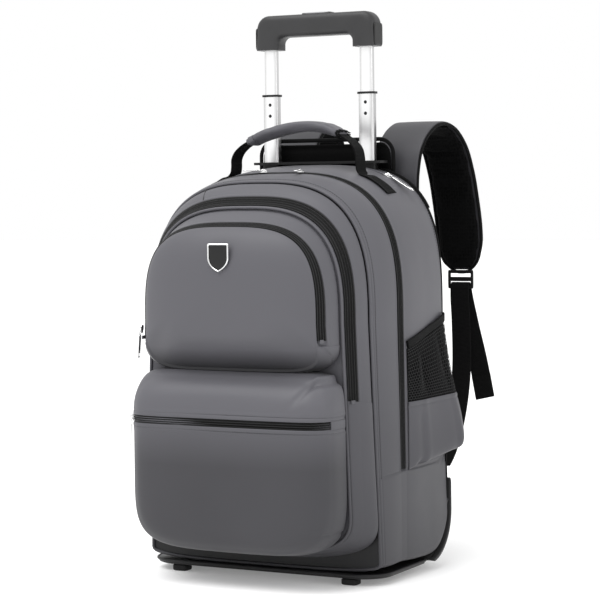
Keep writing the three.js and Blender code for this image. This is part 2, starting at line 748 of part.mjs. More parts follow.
// Pull grip: a bar with two short legs, a socket in each leg and a recess for the push button
const gripEdge = 5;
function gripOutline() {
  const x = gripHalf - gripEdge;
  const top = gripTop - gripEdge;
  const inner = gripHalf - legWidth + gripEdge;
  const low = gripLegBottom + gripEdge;
  const under = gripTop - barHeight + gripEdge;
  const shape = new THREE.Shape();
  shape.moveTo(x, low).lineTo(x, top - 12).quadraticCurveTo(x, top, x - 12, top);
  shape.lineTo(-x + 12, top).quadraticCurveTo(-x, top, -x, top - 12).lineTo(-x, low);
  shape.lineTo(-inner, low).lineTo(-inner, under - 4).quadraticCurveTo(-inner, under, -inner + 8, under);
  shape.lineTo(inner - 8, under).quadraticCurveTo(inner, under, inner, under - 4).lineTo(inner, low);
  return shape.closePath();
}
const gripBlank = new THREE.ExtrudeGeometry(gripOutline(), {
  depth: gripDepth - 2 * gripEdge, bevelEnabled: true, bevelThickness: gripEdge,
  bevelSize: gripEdge, bevelSegments: 2, curveSegments: 4,
}).applyMatrix4(
  new THREE.Matrix4().makeBasis(
    new THREE.Vector3(1, 0, 0), new THREE.Vector3(0, 0, 1), new THREE.Vector3(0, -1, 0),
  ),
).translate(0, -tubeSetback + gripDepth / 2 - gripEdge, 0);
const socket = (side) => {
  const w = innerWidth / 2 + 0.35;
  const d = innerDepth / 2 + 0.35;
  const x = side * tubeSpread;
  return box(x - w, x + w, -tubeSetback - d, -tubeSetback + d, gripLegBottom - 5, innerTubeTop + 1.5);
};
const buttonHalf = [20, 8];
const buttonRecess = 10;
const recess = box(
  -buttonHalf[0] - 0.4, buttonHalf[0] + 0.4, -tubeSetback - buttonHalf[1] - 0.4,
  -tubeSetback + buttonHalf[1] + 0.4, gripTop - buttonRecess, gripTop + 5,
);
add("pull_grip", cut(gripBlank, socket(1), socket(-1), recess), "plastic");
const buttonTravel = 3;
const button = new THREE.ExtrudeGeometry(
  roundedRectangle(new THREE.Shape(), 2 * buttonHalf[0], 2 * buttonHalf[1], 4),
  { depth: buttonRecess - buttonTravel + 1, bevelEnabled: false, curveSegments: 3 },
).translate(0, -tubeSetback, gripTop - buttonRecess + buttonTravel + 0.5);
add("grip_button", button, "guard");

// A flat or padded strip along a row of stops. Each stop has its middle x, y, z and its width and
// thickness; across is the direction of its width.
function ribbon(stops, across, soft) {
  const middles = stops.map(({ x, y, z }) => new THREE.Vector3(x, y, z));
  const rings = stops.map((stop, i) => {
    const ahead = middles[Math.min(i + 1, stops.length - 1)];
    const behind = middles[Math.max(i - 1, 0)];
    const tangent = ahead.clone().sub(behind).normalize();
    const normal = tangent.clone().cross(across).normalize();
    const w = stop.width / 2;
    const t = stop.thickness / 2;
    const o = stop.offset || 0;
    const section = soft
      ? [[-w, -t * 0.4], [-w + t * 0.7, -t], [w - t * 0.7, -t], [w, -t * 0.4],
        [w, t * 0.4], [w - t * 0.7, t], [-w + t * 0.7, t], [-w, t * 0.4]]
      : [[-w, -t], [w, -t], [w, t], [-w, t]];
    return section.map(([u, v]) => {
      const p = middles[i].clone().addScaledVector(across, u).addScaledVector(normal, v + o);
      return [p.x, p.y, p.z];
    });
  });
  return skin(rings, "strip");
}

// Carry handle: one webbing strap that lies on the bag, stands up and runs through a padded grip
function topHeight(x, setback) {
  const read = (column) => readTable(outlineTable, "setback", setback, column);
  const share = Math.min(1, Math.abs(x) / (read("shoulder") * halfWidth));
  const n = read("square");
  return shoulderHeight + (read("crown") * bagHeight - shoulderHeight) * (1 - share ** n) ** (1 / n);
}
const handleY = -handleSetback;
const sewnStops = [124, 114, 104, 96].map((x) => ({ x, z: topHeight(x, handleSetback / shellDepth) + 3.2 }));
const legStops = [
  { x: handleSpread + 7, z: 466 }, { x: handleSpread + 3, z: 470 }, { x: handleSpread + 1.5, z: 477 },
  { x: handleSpread + 1, z: 487 },
];
// The arch leans a little to the right, as a soft handle does once it has been held.
const gripMiddle = handleTop - 5.8;
const archStops = [
  { x: handleSpread - 1.5, z: gripMiddle - 27.2 }, { x: handleSpread - 8, z: gripMiddle - 19.2 },
  { x: 62, z: gripMiddle - 11.7 }, { x: 45, z: gripMiddle - 3.7 }, { x: 22, z: gripMiddle + 0.4 },
  { x: 0, z: gripMiddle }, { x: -22, z: gripMiddle - 3.9 }, { x: -45, z: gripMiddle - 10.2 },
  { x: -62, z: gripMiddle - 17.2 }, { x: 9 - handleSpread, z: gripMiddle - 23.7 },
  { x: 2 - handleSpread, z: gripMiddle - 30.7 },
];
const rightLeg = [...sewnStops, ...legStops];
const leftLeg = rightLeg.map((s) => ({ ...s, x: -s.x })).reverse();
const handleAcross = new THREE.Vector3(0, 1, 0);
function handlePath(width, thickness, stops) {
  return ribbon(stops.map((s) => ({ ...s, y: handleY, width, thickness })), handleAcross, false);
}
const handleStops = [...rightLeg, ...archStops, ...leftLeg];
add("carry_webbing", handlePath(webbingWidth, webbingThickness, handleStops), "black");
const gripStops = [
  { x: -60.5, z: gripMiddle - 16.5, thickness: 9, width: 28 },
  { x: -57, z: gripMiddle - 15.1, thickness: 10.5, width: 31 },
  { x: -45, z: gripMiddle - 10.2, thickness: 11.5, width: 33 },
  { x: -22, z: gripMiddle - 3.9, thickness: 11.5, width: 34 },
  { x: 0, z: gripMiddle, thickness: 11.5, width: 34 },
  { x: 22, z: gripMiddle + 0.4, thickness: 11.5, width: 34 },
  { x: 45, z: gripMiddle - 3.7, thickness: 11.5, width: 33 },
  { x: 57, z: gripMiddle - 9.1, thickness: 10.5, width: 31 },
  { x: 60.5, z: gripMiddle - 11, thickness: 9, width: 28 },
];
add(
  "carry_grip",
  cut(
    ribbon(gripStops.map((s) => ({ ...s, y: handleY })), handleAcross, true),
    handlePath(webbingWidth + 1, webbingThickness + 1.4, archStops),
  ),
  "fabric",
);

// Back padding and yoke
const padFront = seamGap + wall + seamGap;
function pad(x0, x1, z0, z1, thickness, radius) {
  const geometry = new THREE.ExtrudeGeometry(
    roundedRectangle(new THREE.Shape(), x1 - x0 - 6, z1 - z0 - 6, radius),
    {
      depth: thickness - 6, bevelEnabled: true, bevelThickness: 3, bevelSize: 3, bevelSegments: 1,
      curveSegments: 3,
    },
  );
  const turn = new THREE.Matrix4().makeBasis(
    new THREE.Vector3(1, 0, 0), new THREE.Vector3(0, 0, 1), new THREE.Vector3(0, -1, 0),
  );
  return geometry.applyMatrix4(turn).translate((x0 + x1) / 2, padFront + thickness - 3, (z0 + z1) / 2);
}
const padBacking = box(-91, 91, padFront, padFront + 2, 116, 420);
add(
  "back_padding",
  join(
    padBacking, pad(10, 92, 190, 425, padThickness, 18), pad(-92, -10, 190, 425, padThickness, 18),
    pad(-92, 92, 112, 184, padThickness, 18),
  ),
  "black",
);
const yokeTop = bagHeight + 31;
add("yoke_pad", pad(-90, 90, 431, yokeTop, padThickness - 2, 16), "black");

// Shoulder straps, in two layers: a coated outer face and a padded lining
const strapStops = [
  { x: 88, y: 21.7, z: 432, share: 0.92 }, { x: 88, y: 22.2, z: 468, share: 0.95 },
  { x: 89, y: 30, z: 496, share: 0.97 }, { x: 91, y: 52, z: 517, share: 1 },
  { x: 93, y: 77, z: 525, share: 1 }, { x: 97, y: 104, z: 520, share: 1 },
  { x: 102, y: 125, z: 500, share: 1 }, { x: 107, y: 136, z: 468, share: 1 },
  { x: 111, y: 140, z: 435, share: 1 }, { x: 115, y: 141, z: 400, share: 1 },
  { x: 117, y: 141, z: 370, share: 0.9 }, { x: 118, y: 141, z: 354, share: 0.66 },
  { x: 118, y: 141, z: 347, share: 0.4 },
];
const faceThickness = 3;
const liningThickness = strapThickness - faceThickness;
const strapAcross = new THREE.Vector3(1, 0, 0);
function strapLayer(stops, thickness, offset) {
  const sized = stops.map((s) => ({ ...s, width: strapWidth * s.share, thickness, offset }));
  return ribbon(sized, strapAcross, thickness > faceThickness);
}
// Near its top the left strap leans in towards the middle, as a soft strap does.
const leftLean = 34;
const leanStart = 400;
const leanRise = 80;
const leftStrapStops = strapStops.map((s) => ({
  ...s, x: s.x - leftLean * smooth((s.z - leanStart) / leanRise),
}));
for (const [name, thickness, offset, look] of [
  ["strap_face", faceThickness, -liningThickness / 2 - seamGap, "fabric"],
  ["strap_lining", liningThickness, faceThickness / 2, "black"],
]) {
  add(`${name}_right`, strapLayer(strapStops, thickness, offset), look);
  add(`${name}_left`, mirrored(strapLayer(leftStrapStops, thickness, offset)), look);
}
const buckleZ = 334;
const buckleHalf = 17;
const barZ = buckleZ - 7;
addPair(
  "strap_buckle",
  cut(
    box(118 - buckleHalf, 118 + buckleHalf, 139.5, 142.5, buckleZ - 11, buckleZ + 12.7),
    box(118 - 13.5, 118 + 13.5, 130, 150, barZ + 0.6, barZ + 7),
    box(118 - 13.5, 118 + 13.5, 130, 150, buckleZ + 4, buckleZ + 8),
  ),
  "plastic",
);
const webbingStops = [
  { x: 149, y: 5, z: 118 }, { x: 148, y: 14, z: 122 }, { x: 139, y: 70, z: 160 }, { x: 130, y: 112, z: 215 },
  { x: 121, y: 133, z: 285 }, { x: 118, y: 136.8, z: 318 }, { x: 118, y: 137.6, z: 327 },
  { x: 118, y: 141, z: 330.6 }, { x: 118, y: 144.4, z: 327 }, { x: 119, y: 145.5, z: 318 },
  { x: 127, y: 146, z: 280 }, { x: 140, y: 144, z: 230 }, { x: 150, y: 141, z: 186 },
];
const sizedWebbing = webbingStops.map((s) => ({ ...s, width: webbingWidth, thickness: webbingThickness }));
addPair("strap_webbing", ribbon(sizedWebbing, strapAcross, false), "black");

// Side pockets: a coated panel below, a net above and a bound upper edge. front and rear are
// the edges' setbacks; the columns of sidePocketTable give height at the front and the rear edge
// and how far the pocket stands off the bag at its fullest.
const pocketFrontSetback = 106;
const pocketRearSetback = 2;
const sidePocketTable = [
  { name: "floor", front: 127, rear: 142, bulge: 0 },
  { name: "base", front: 130, rear: 146, bulge: 20 },
  { name: "low", front: 140, rear: 156, bulge: 28 },
  { name: "belly", front: 172, rear: 184, bulge: 25 },
  { name: "seam", front: 205, rear: 209, bulge: 19 },
  { name: "net", front: 232, rear: 246, bulge: 11 },
  { name: "mouth", front: 266, rear: 292, bulge: 4 },
  { name: "brim", front: 273, rear: 299, bulge: 3.5 },
];
const bulgeColumns = [
  { at: 0, share: 0 }, { at: 0.06, share: 0.12 }, { at: 0.25, share: 0.38 }, { at: 0.5, share: 0.66 },
  { at: 0.72, share: 0.9 }, { at: 0.86, share: 1 }, { at: 0.95, share: 0.75 }, { at: 1, share: 0.08 },
];
const sheet = 1.5;
function pocketSheet(rows, low, high, grow) {
  const picked = sidePocketTable.slice(rows[0], rows[1] + 1);
  const point = (row, column, shift) => {
    const setback = mix(pocketFrontSetback, pocketRearSetback, column.at);
    const z = mix(row.front, row.rear, column.at) + shift;
    const along = 1 + (shoulderHeight - z) / (shoulderHeight - baseHeight - cornerRise);
    const [x] = surfacePoint(setback / shellDepth, along, undersides.main, 0);
    return [x + 1 + sheet + row.bulge * column.share, -setback, z];
  };
  const rings = picked.map((row, i) => {
    const shift = i === 0 ? low : i === picked.length - 1 ? high : 0;
    const middle = bulgeColumns.map((c) => point(row, c, shift));
    const offset = (distance) => middle.map(([x, y, z], k) => {
      const before = middle[Math.max(k - 1, 0)];
      const after = middle[Math.min(k + 1, middle.length - 1)];
      const out = new THREE.Vector2(after[1] - before[1], before[0] - after[0]).normalize();
      return [x + out.x * distance, y + out.y * distance, z];
    });
    return [...offset(grow), ...offset(-sheet).reverse()];
  });
  return skin(rings, "strip");
}
addPair("side_panel", pocketSheet([0, 4], 0, -seamGap / 2, 0), "fabric");
addPair("side_net", pocketSheet([4, 6], seamGap / 2, -seamGap / 2, -0.5), "black");
addPair("side_binding", pocketSheet([6, 7], seamGap / 2, 0, 0.6), "black");

// Zip pullers: a slider with a long tab. lie is the direction in which the tab lies, up the way
// the slider faces.
function puller(at, lie, up, length) {
  const forward = new THREE.Vector3(...lie).normalize();
  const side = new THREE.Vector3(...up).cross(forward).normalize();
  const face = forward.clone().cross(side);
  const frame = new THREE.Matrix4().makeBasis(forward, side, face).setPosition(...at);
  return join(box(-5, 5, -4.5, 4.5, 0, 4), box(2, length, -3.2, 3.2, 2, 4.4)).applyMatrix4(frame);
}
// Where each slider sits: the zip's setback, along (as in surfacePoint), how far it is lifted off
// the zip, the tab's direction and length and the way the slider faces.
const pullerTable = [
  {
    name: "main_a", setback: zipMainSetback, along: -0.03, lift: -0.1,
    lie: [-1, -0.6, 0], up: [0, 0, 1], length: 25,
  },
  {
    name: "main_b", setback: zipMainSetback, along: 0.05, lift: -0.1,
    lie: [0.2, -1, -0.05], up: [0, 0, 1], length: 22,
  },
  {
    name: "rear", setback: zipRearSetback, along: 0.315, lift: 0.2,
    lie: [1, -0.2, -0.55], up: [0.5, 0, 1], length: 42,
  },
  {
    name: "front", setback: zipFrontSetback, along: -1.04, lift: 3,
    lie: [-0.08, 0, -1], up: [-1, -0.2, 0.08], length: 34,
  },
];
for (const { name, setback, along, lift, lie, up, length } of pullerTable) {
  const under = name === "front" ? undersides.front : undersides.main;
  const at = surfacePoint(setback / shellDepth, along, under, zipProud + lift);
  add(`puller_${name}`, puller(at, lie, up, length), "chrome");
}
const pocketSlider = pocketZipEnd(1.35);
add("puller_pocket", puller(pocketSlider, [-0.05, 0, -1], [-0.8, -0.6, 0.05], 34), "chrome");

// Emblem: a bare, plain shield, a rim round a flat field
const emblemHeight = 375;
const emblemHalfWidth = 13.5;
const emblemHalfHeight = 16;
const emblemRim = 2;
// A plate in the form of a plain shield: a level top, upright sides and two curves that meet in a
// point. It stands on the front panel between the depths y0 and y1.
function shieldPlate(w, h, y0, y1) {
  const shape = new THREE.Shape().moveTo(-w, h).lineTo(w, h).lineTo(w, -0.1 * h);
  shape.quadraticCurveTo(0.9 * w, -0.65 * h, 0, -h).quadraticCurveTo(-0.9 * w, -0.65 * h, -w, -0.1 * h);
  const settings = { depth: y1 - y0, bevelEnabled: false, curveSegments: 8 };
  const geometry = new THREE.ExtrudeGeometry(shape, settings);
  const turn = new THREE.Matrix4().makeBasis(
    new THREE.Vector3(1, 0, 0), new THREE.Vector3(0, 0, 1), new THREE.Vector3(0, -1, 0),
  );
  return geometry.applyMatrix4(turn).translate(0, -y0, emblemHeight);
}
// How far in front of the rear edge the front panel stands on the middle plane at a height.
function panelFace(height) {
  const rows = frontShellTable.slice(3).reverse();
  const crown = outlineTable.at(-1).crown * bagHeight;
  const share = (height - panelCentre) / (crown - panelCentre);
  return shellDepth + panelBulge * readTable(rows, "shrink", share, "swell");
}
const emblemBack = panelFace(emblemHeight - emblemHalfHeight) + seamGap;
const emblemInner = [emblemHalfWidth - emblemRim, emblemHalfHeight - emblemRim];
const emblemField = emblemInner.map((size) => size - seamGap);
add(
  "emblem_rim",
  cut(
    shieldPlate(emblemHalfWidth, emblemHalfHeight, emblemBack, emblemBack + 2.6),
    shieldPlate(...emblemInner, emblemBack - 5, emblemBack + 8),
  ),
  "chrome",
);
add("emblem_field", shieldPlate(...emblemField, emblemBack, emblemBack + 1.6), "black");

// Origin: the middle of the footprint
const bounds = new THREE.Box3().setFromObject(bag);
const middle = bounds.getCenter(new THREE.Vector3());
for (const piece of bag.children) piece.geometry.translate(-middle.x, -middle.y, -bounds.min.z);
bag.updateMatrixWorld(true);
export default bag;
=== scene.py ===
# %% [markdown]
# # A wheeled backpack, dressed
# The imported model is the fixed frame: every hard piece of the real bag already has its size and
# place there, in metres. This lesson builds the cloth, zips, webbing, tubes and trim over that frame.
# Loading comes first, because every later piece asks the frame where it belongs.

import bpy
import numpy as np
from mathutils import Matrix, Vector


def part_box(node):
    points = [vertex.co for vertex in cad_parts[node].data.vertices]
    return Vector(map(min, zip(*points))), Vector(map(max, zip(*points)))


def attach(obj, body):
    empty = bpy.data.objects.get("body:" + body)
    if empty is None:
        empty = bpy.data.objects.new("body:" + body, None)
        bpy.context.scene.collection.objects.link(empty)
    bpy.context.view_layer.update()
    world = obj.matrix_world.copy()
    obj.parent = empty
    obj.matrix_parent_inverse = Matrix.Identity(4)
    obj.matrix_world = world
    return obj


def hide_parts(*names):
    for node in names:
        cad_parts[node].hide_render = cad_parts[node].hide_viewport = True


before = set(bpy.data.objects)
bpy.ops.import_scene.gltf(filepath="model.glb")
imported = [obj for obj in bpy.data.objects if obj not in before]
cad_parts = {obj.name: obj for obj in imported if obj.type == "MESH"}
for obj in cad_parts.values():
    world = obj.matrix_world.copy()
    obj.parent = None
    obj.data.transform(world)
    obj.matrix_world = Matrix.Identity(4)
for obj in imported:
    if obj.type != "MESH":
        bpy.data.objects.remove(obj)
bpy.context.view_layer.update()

# %% [markdown]
# The bag is drawn in millimetres, with Y = 0 at the rear edge of its main compartment. One value read
# from the frame, the place of the back board, carries those drawings into the row frame in metres.

# %% Units and the driving sizes of the bag
MM = 0.001
BOARD_GAP = 0.3
rear_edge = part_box("back_board")[0].y / MM - BOARD_GAP

HALF_WIDTH = 155.0
BAG_HEIGHT = 478.0
SHOULDER_HEIGHT = 300.0
MAIN_DEPTH = 165.0
MIDDLE_DEPTH = 38.0
FRONT_DEPTH = 35.0
SHELL_DEPTH = MAIN_DEPTH + MIDDLE_DEPTH + FRONT_DEPTH
WALL = 2.0
BASE_HEIGHT = 16.0
REAR_RADIUS = 52.0
MIDDLE_FLOOR = 28.0
FRONT_FLOOR = 39.0
CORNER_RISE = 22.0
MAIN_RISE = 12.0
CREASE_HEIGHT = 246.0
RIM = MAIN_DEPTH + MIDDLE_DEPTH + 2.0
INSIDE_BAG = (0.0, -120.0, 240.0)


def to_row(points):
    """Bag millimetres to row metres: moved back by the rear edge and divided by a thousand."""
    return (np.asarray(points, float) + [0.0, rear_edge, 0.0]) * MM


print("rear edge of the bag lies at y =", round(rear_edge, 2), "mm")

# %% [markdown]
# The photograph was taken from the front right, a little above the middle, with a long lens. A long
# lens keeps the bag's sides nearly parallel, so the camera stands well back.

# %% Camera
CAMERA_PLACE = (1176.9, -2281.4, 449.3)
CAMERA_TURN = np.radians(28.0)
CAMERA_DIP = np.radians(3.0)
CAMERA_ROLL = np.radians(0.7)


def camera_axes(turn, dip, roll):
    """Right, up and back directions: a turn about Z, a dip below the horizon, a roll about the view."""
    right = np.array([np.cos(turn), np.sin(turn), 0.0])
    back = np.array([np.sin(turn) * np.cos(dip), -np.cos(turn) * np.cos(dip), np.sin(dip)])
    up = np.cross(back, right)
    rolled_right = right * np.cos(roll) - up * np.sin(roll)
    rolled_up = up * np.cos(roll) + right * np.sin(roll)
    return rolled_right, rolled_up, back


camera_data = bpy.data.cameras.new("camera")
camera_data.lens = 126.0
camera_data.sensor_width = 36.0
camera = bpy.data.objects.new("camera", camera_data)
bpy.context.scene.collection.objects.link(camera)
camera_matrix = np.eye(4)
camera_matrix[:3, :3] = np.column_stack(camera_axes(CAMERA_TURN, CAMERA_DIP, CAMERA_ROLL))
camera_matrix[:3, 3] = to_row(CAMERA_PLACE)
camera.matrix_world = Matrix(camera_matrix.tolist())
bpy.context.scene.camera = camera
print("camera at", np.round(to_row(CAMERA_PLACE), 3).tolist())

# %% [markdown]
# A product photograph wants soft, even light: a white world fills every shadow, a wide panel above
# and in front draws the slow bright-to-dark run down the cloth, helped by a painted shade in the
# cloth's colour, and a weaker one opens the right side.
# The plain view transform keeps white paper white, where a film-like curve would turn it grey. The floor
# glows a little, like a light table, because the photograph shows nearly no shadow in front of the bag.

# %% Light and floor
world = bpy.data.worlds.new("studio")
world.use_nodes = True
world.node_tree.nodes["Background"].inputs["Color"].default_value = (1.0, 1.0, 1.0, 1.0)
world.node_tree.nodes["Background"].inputs["Strength"].default_value = 1.0
bpy.context.scene.world = world
bpy.context.scene.view_settings.view_transform = "Standard"


def add_softbox(name, place, aim, size, power):
    """A square area light at place, turned so that it shines at aim."""
    light = bpy.data.lights.new(name, "AREA")
    light.size = size
    light.energy = power
    lamp = bpy.data.objects.new(name, light)
    bpy.context.scene.collection.objects.link(lamp)
    back = np.subtract(place, aim)
    back = back / np.linalg.norm(back)
    side = np.cross([0.0, 0.0, 1.0], back)
    side = side / np.linalg.norm(side)
    matrix = np.eye(4)
    matrix[:3, :3] = np.column_stack([side, np.cross(back, side), back])
    matrix[:3, 3] = place
    lamp.matrix_world = Matrix(matrix.tolist())


add_softbox("key_above", (-0.5, -1.6, 2.3), (0.0, 0.0, 0.3), 1.6, 20.0)
add_softbox("fill_right", (2.2, -0.5, 1.2), (0.1, 0.0, 0.3), 1.4, 9.0)
ceiling = bpy.data.lights.new("ceiling_glow", "SUN")
ceiling.energy, ceiling.angle = 1.7, np.radians(50.0)
ceiling_lamp = bpy.data.objects.new("ceiling_glow", ceiling)
ceiling_tilt = Matrix.Rotation(np.radians(20.0), 4, "X")
ceiling_lamp.matrix_world = ceiling_tilt @ Matrix.Rotation(np.radians(-10.0), 4, "Y")
bpy.context.scene.collection.objects.link(ceiling_lamp)

FLOOR_REACH = 14.0
floor_mesh = bpy.data.meshes.new("floor")
corners = [(-1, -1), (1, -1), (1, 1), (-1, 1)]
floor_mesh.from_pydata([(x * FLOOR_REACH, y * FLOOR_REACH, 0.0) for x, y in corners], [], [(0, 1, 2, 3)])
floor = bpy.data.objects.new("floor", floor_mesh)
bpy.context.scene.collection.objects.link(floor)
floor_look = bpy.data.materials.new("pale_floor")
floor_look.use_nodes = True
floor_shader = floor_look.node_tree.nodes["Principled BSDF"]
floor_shader.inputs["Base Color"].default_value = (0.80, 0.80, 0.80, 1.0)
floor_shader.inputs["Roughness"].default_value = 0.9
floor_shader.inputs["Emission Color"].default_value = (1.0, 1.0, 1.0, 1.0)
floor_shader.inputs["Emission Strength"].default_value = 0.2
floor_mesh.materials.append(floor_look)
print("lights and floor are in place")

# %% [markdown]
# Each finish is a small node tree. They share three helpers: one starts a material, one adds a node
# with its values and links, and one turns a grey pattern into bump. Patterns read Object coordinates,
# or the piece's own UV map in metres where a weave has to follow the cloth.

# %% Material helpers
def start_material(name, colour, roughness, metallic=0.0, sheen=0.0, coat=0.0, specular=0.5):
    """A new node material whose even values sit on the shader's own sockets."""
    look = bpy.data.materials.new(name)
    look.use_nodes = True
    shader = look.node_tree.nodes["Principled BSDF"]
    shader.inputs["Base Color"].default_value = (*colour, 1.0)
    shader.inputs["Roughness"].default_value = roughness
    shader.inputs["Metallic"].default_value = metallic
    shader.inputs["Sheen Weight"].default_value = sheen
    shader.inputs["Sheen Roughness"].default_value = 0.5
    shader.inputs["Coat Weight"].default_value = coat
    shader.inputs["Coat Roughness"].default_value = 0.25
    shader.inputs["Specular IOR Level"].default_value = specular
    return look, look.node_tree, shader


def add_node(tree, kind, links=(), **values):
    """Adds a node, sets its named values and links {input: source socket}."""
    node = tree.nodes.new(kind)
    for key, value in values.items():
        setattr(node, key, value)
    for socket, source in dict(links).items():
        if isinstance(source, bpy.types.NodeSocket):
            tree.links.new(source, node.inputs[socket])
        else:
            node.inputs[socket].default_value = source
    return node


def mapped(tree, space="Object", scale=(1.0, 1.0, 1.0), turn=0.0):
    """Coordinates of the given space, through a Mapping node that scales and turns them."""
    source = add_node(tree, "ShaderNodeTexCoord")
    mapping = add_node(tree, "ShaderNodeMapping", {"Vector": source.outputs[space]})
    mapping.inputs["Scale"].default_value = scale
    mapping.inputs["Rotation"].default_value = (0.0, 0.0, turn)
    return mapping.outputs["Vector"]


def noise(tree, vector, scale, detail=3.0, rough=0.5):
    links = {"Vector": vector, "Scale": scale, "Detail": detail, "Roughness": rough}
    return add_node(tree, "ShaderNodeTexNoise", links).outputs["Fac"]


def tinted(tree, shader, factor, dark, light, low=0.3, high=0.7):
    """Base colour that runs from dark to light as factor runs from low to high."""
    ramp = add_node(tree, "ShaderNodeValToRGB", {"Fac": factor})
    ramp.color_ramp.elements[0].position = low
    ramp.color_ramp.elements[0].color = (*dark, 1.0)
    ramp.color_ramp.elements[1].position = high
    ramp.color_ramp.elements[1].color = (*light, 1.0)
    tree.links.new(ramp.outputs["Color"], shader.inputs["Base Color"])


def roughened(tree, shader, factor, low, high):
    span = add_node(tree, "ShaderNodeMapRange", {"Value": factor, "To Min": low, "To Max": high})
    tree.links.new(span.outputs["Result"], shader.inputs["Roughness"])


def bumped(tree, shader, height, distance, strength=1.0):
    """Bump of the given depth in metres, laid over any bump the shader already has."""
    links = {"Height": height, "Distance": distance, "Strength": strength}
    if shader.inputs["Normal"].links:
        links["Normal"] = shader.inputs["Normal"].links[0].from_socket
    bump = add_node(tree, "ShaderNodeBump", links)
    tree.links.new(bump.outputs["Normal"], shader.inputs["Normal"])


def grey(value, blue=1.03):
    return (value, value, value * blue)


print("material helpers are ready")

# %% [markdown]
# The bag's face cloth is nylon with a soft polyurethane coating: smooth, slightly cool grey, with a
# very fine twill that only shows close up, slow changes of tone and shallow waves where it is slack.
# Two noises and a wave give all of that without any image. Each tone also carries a painted shade,
# darker towards the floor.

# %% Coated cloth
def slate(value):
    """The cloth's colour: a grey with a trace of blue."""
    return (value, value * 0.985, value * 1.11)


def shaded_coated_cloth(name, tone, painted_shade_share=0.42, low=0.02, high=0.34):
    """Painted shade: the tone falls to the given share of itself from the height high down to low, in metres.
    """
    look, tree, shader = start_material(name, slate(tone), 0.5, sheen=0.04, specular=0.3)
    place = mapped(tree)
    slow = noise(tree, place, 7.0, 2.0)
    height = add_node(tree, "ShaderNodeSeparateXYZ", {"Vector": place}).outputs["Z"]
    # Painted shade: the tone darkens from the height high down to the height low.
    rise = add_node(tree, "ShaderNodeMapRange", {"Value": height, "From Min": low, "From Max": high})
    links = {0: slow, 1: 0.25, 2: rise.outputs["Result"]}
    mottle_and_painted_shade = add_node(tree, "ShaderNodeMath", links, operation="MULTIPLY_ADD")
    tinted(tree, shader, mottle_and_painted_shade.outputs["Value"], slate(tone * painted_shade_share), slate(tone * 1.04), 0.05, 1.15)
    roughened(tree, shader, noise(tree, place, 30.0, 3.0), 0.46, 0.56)
    bumped(tree, shader, noise(tree, place, 14.0, 2.0), 0.0016, 0.5)
    weave_place = mapped(tree, "UV", turn=np.radians(45.0))
    links = {"Vector": weave_place, "Scale": 420.0, "Distortion": 0.4}
    twill = add_node(tree, "ShaderNodeTexWave", links, wave_type="BANDS", bands_direction="X")
    bumped(tree, shader, twill.outputs["Fac"], 0.00005, 0.25)
    return look


# Each tone below carries painted shade; the grey one falls to 0.42 of itself from 0.34 m down to 0.02 m.
grey_cloth = shaded_coated_cloth("coated_cloth_grey", 0.077)
# Painted shade: the panel's tone falls to 0.12 of itself in a narrow band just above the crease.
crease_shaded_cloth = shaded_coated_cloth("coated_cloth_panel_crease_shade", 0.076, 0.12, 0.250, 0.276)
# Painted shade: the pocket's tone falls to 0.40 of itself below its zip, from 0.212 m down to 0.140 m.
pocket_shaded_cloth = shaded_coated_cloth("coated_cloth_pocket_painted_shade", 0.080, 0.40, 0.140, 0.212)
# Painted shade: the strap's face is a darker copy of the same coated cloth, standing in for shade on it.
strap_shaded_cloth = shaded_coated_cloth("coated_cloth_strap_painted_shade", 0.038, 0.8)
base_cloth = shaded_coated_cloth("coated_cloth_base", 0.011)
print("coated cloth in five tones")

# %% [markdown]
# Black goods: ribbed webbing, the zip's woven tape, the plain black cloth of the back, a spacer mesh
# for everything that touches the wearer, and the thread. All are near black, so their weave has to
# come from bump and from a little sheen on the fibre tips. The zip's tape has thin pale lines painted in
# it, a painted highlight along its coil.

# %% Webbing, tape, mesh and thread
def woven_black(name, tone, ribs, depth, cross=0.5, rough=0.75):
    """Ribs across the strip (V of its UV map) crossed by finer warp lines along it."""
    look, tree, shader = start_material(name, grey(tone, 1.06), rough, sheen=0.01, specular=0.06)
    place = mapped(tree, "UV")
    rib_links = {"Vector": place, "Scale": ribs, "Distortion": 0.6, "Detail": 1.0}
    rib = add_node(tree, "ShaderNodeTexWave", rib_links, bands_direction="X")
    warp_links = {"Vector": place, "Scale": ribs * 1.6, "Distortion": 0.3}
    warp = add_node(tree, "ShaderNodeTexWave", warp_links, bands_direction="Y")
    links = {0: rib.outputs["Fac"], 1: warp.outputs["Fac"]}
    weave = add_node(tree, "ShaderNodeMath", links, operation="MULTIPLY")
    tinted(tree, shader, weave.outputs["Value"], grey(tone * 0.7), grey(tone * 1.5), 0.1, 0.9)
    bumped(tree, shader, rib.outputs["Fac"], depth, 0.6)
    bumped(tree, shader, warp.outputs["Fac"], depth * cross, 0.5)
    return look


def spacer_mesh(name, tone):
    """Air mesh: round cells in rows over a soft knit, from Voronoi distance and fine noise."""
    look, tree, shader = start_material(name, grey(tone), 0.85, sheen=0.01, specular=0.03)
    place = mapped(tree, "Object", (1.0, 1.0, 0.75))
    cells = add_node(tree, "ShaderNodeTexVoronoi", {"Vector": place, "Scale": 300.0, "Randomness": 0.35})
    tinted(tree, shader, cells.outputs["Distance"], grey(tone * 0.45), grey(tone * 1.6), 0.1, 0.6)
    bumped(tree, shader, cells.outputs["Distance"], 0.0009, 0.8)
    bumped(tree, shader, noise(tree, place, 1400.0, 2.0), 0.0002, 0.5)
    return look


webbing_look = woven_black("webbing_black", 0.0045, 190.0, 0.0005)
tape_look = woven_black("zip_tape", 0.005, 520.0, 0.0002, rough=0.4)
tape_tree = tape_look.node_tree
tape_shader = tape_tree.nodes["Principled BSDF"]
tape_shader.inputs["Specular IOR Level"].default_value = 0.12
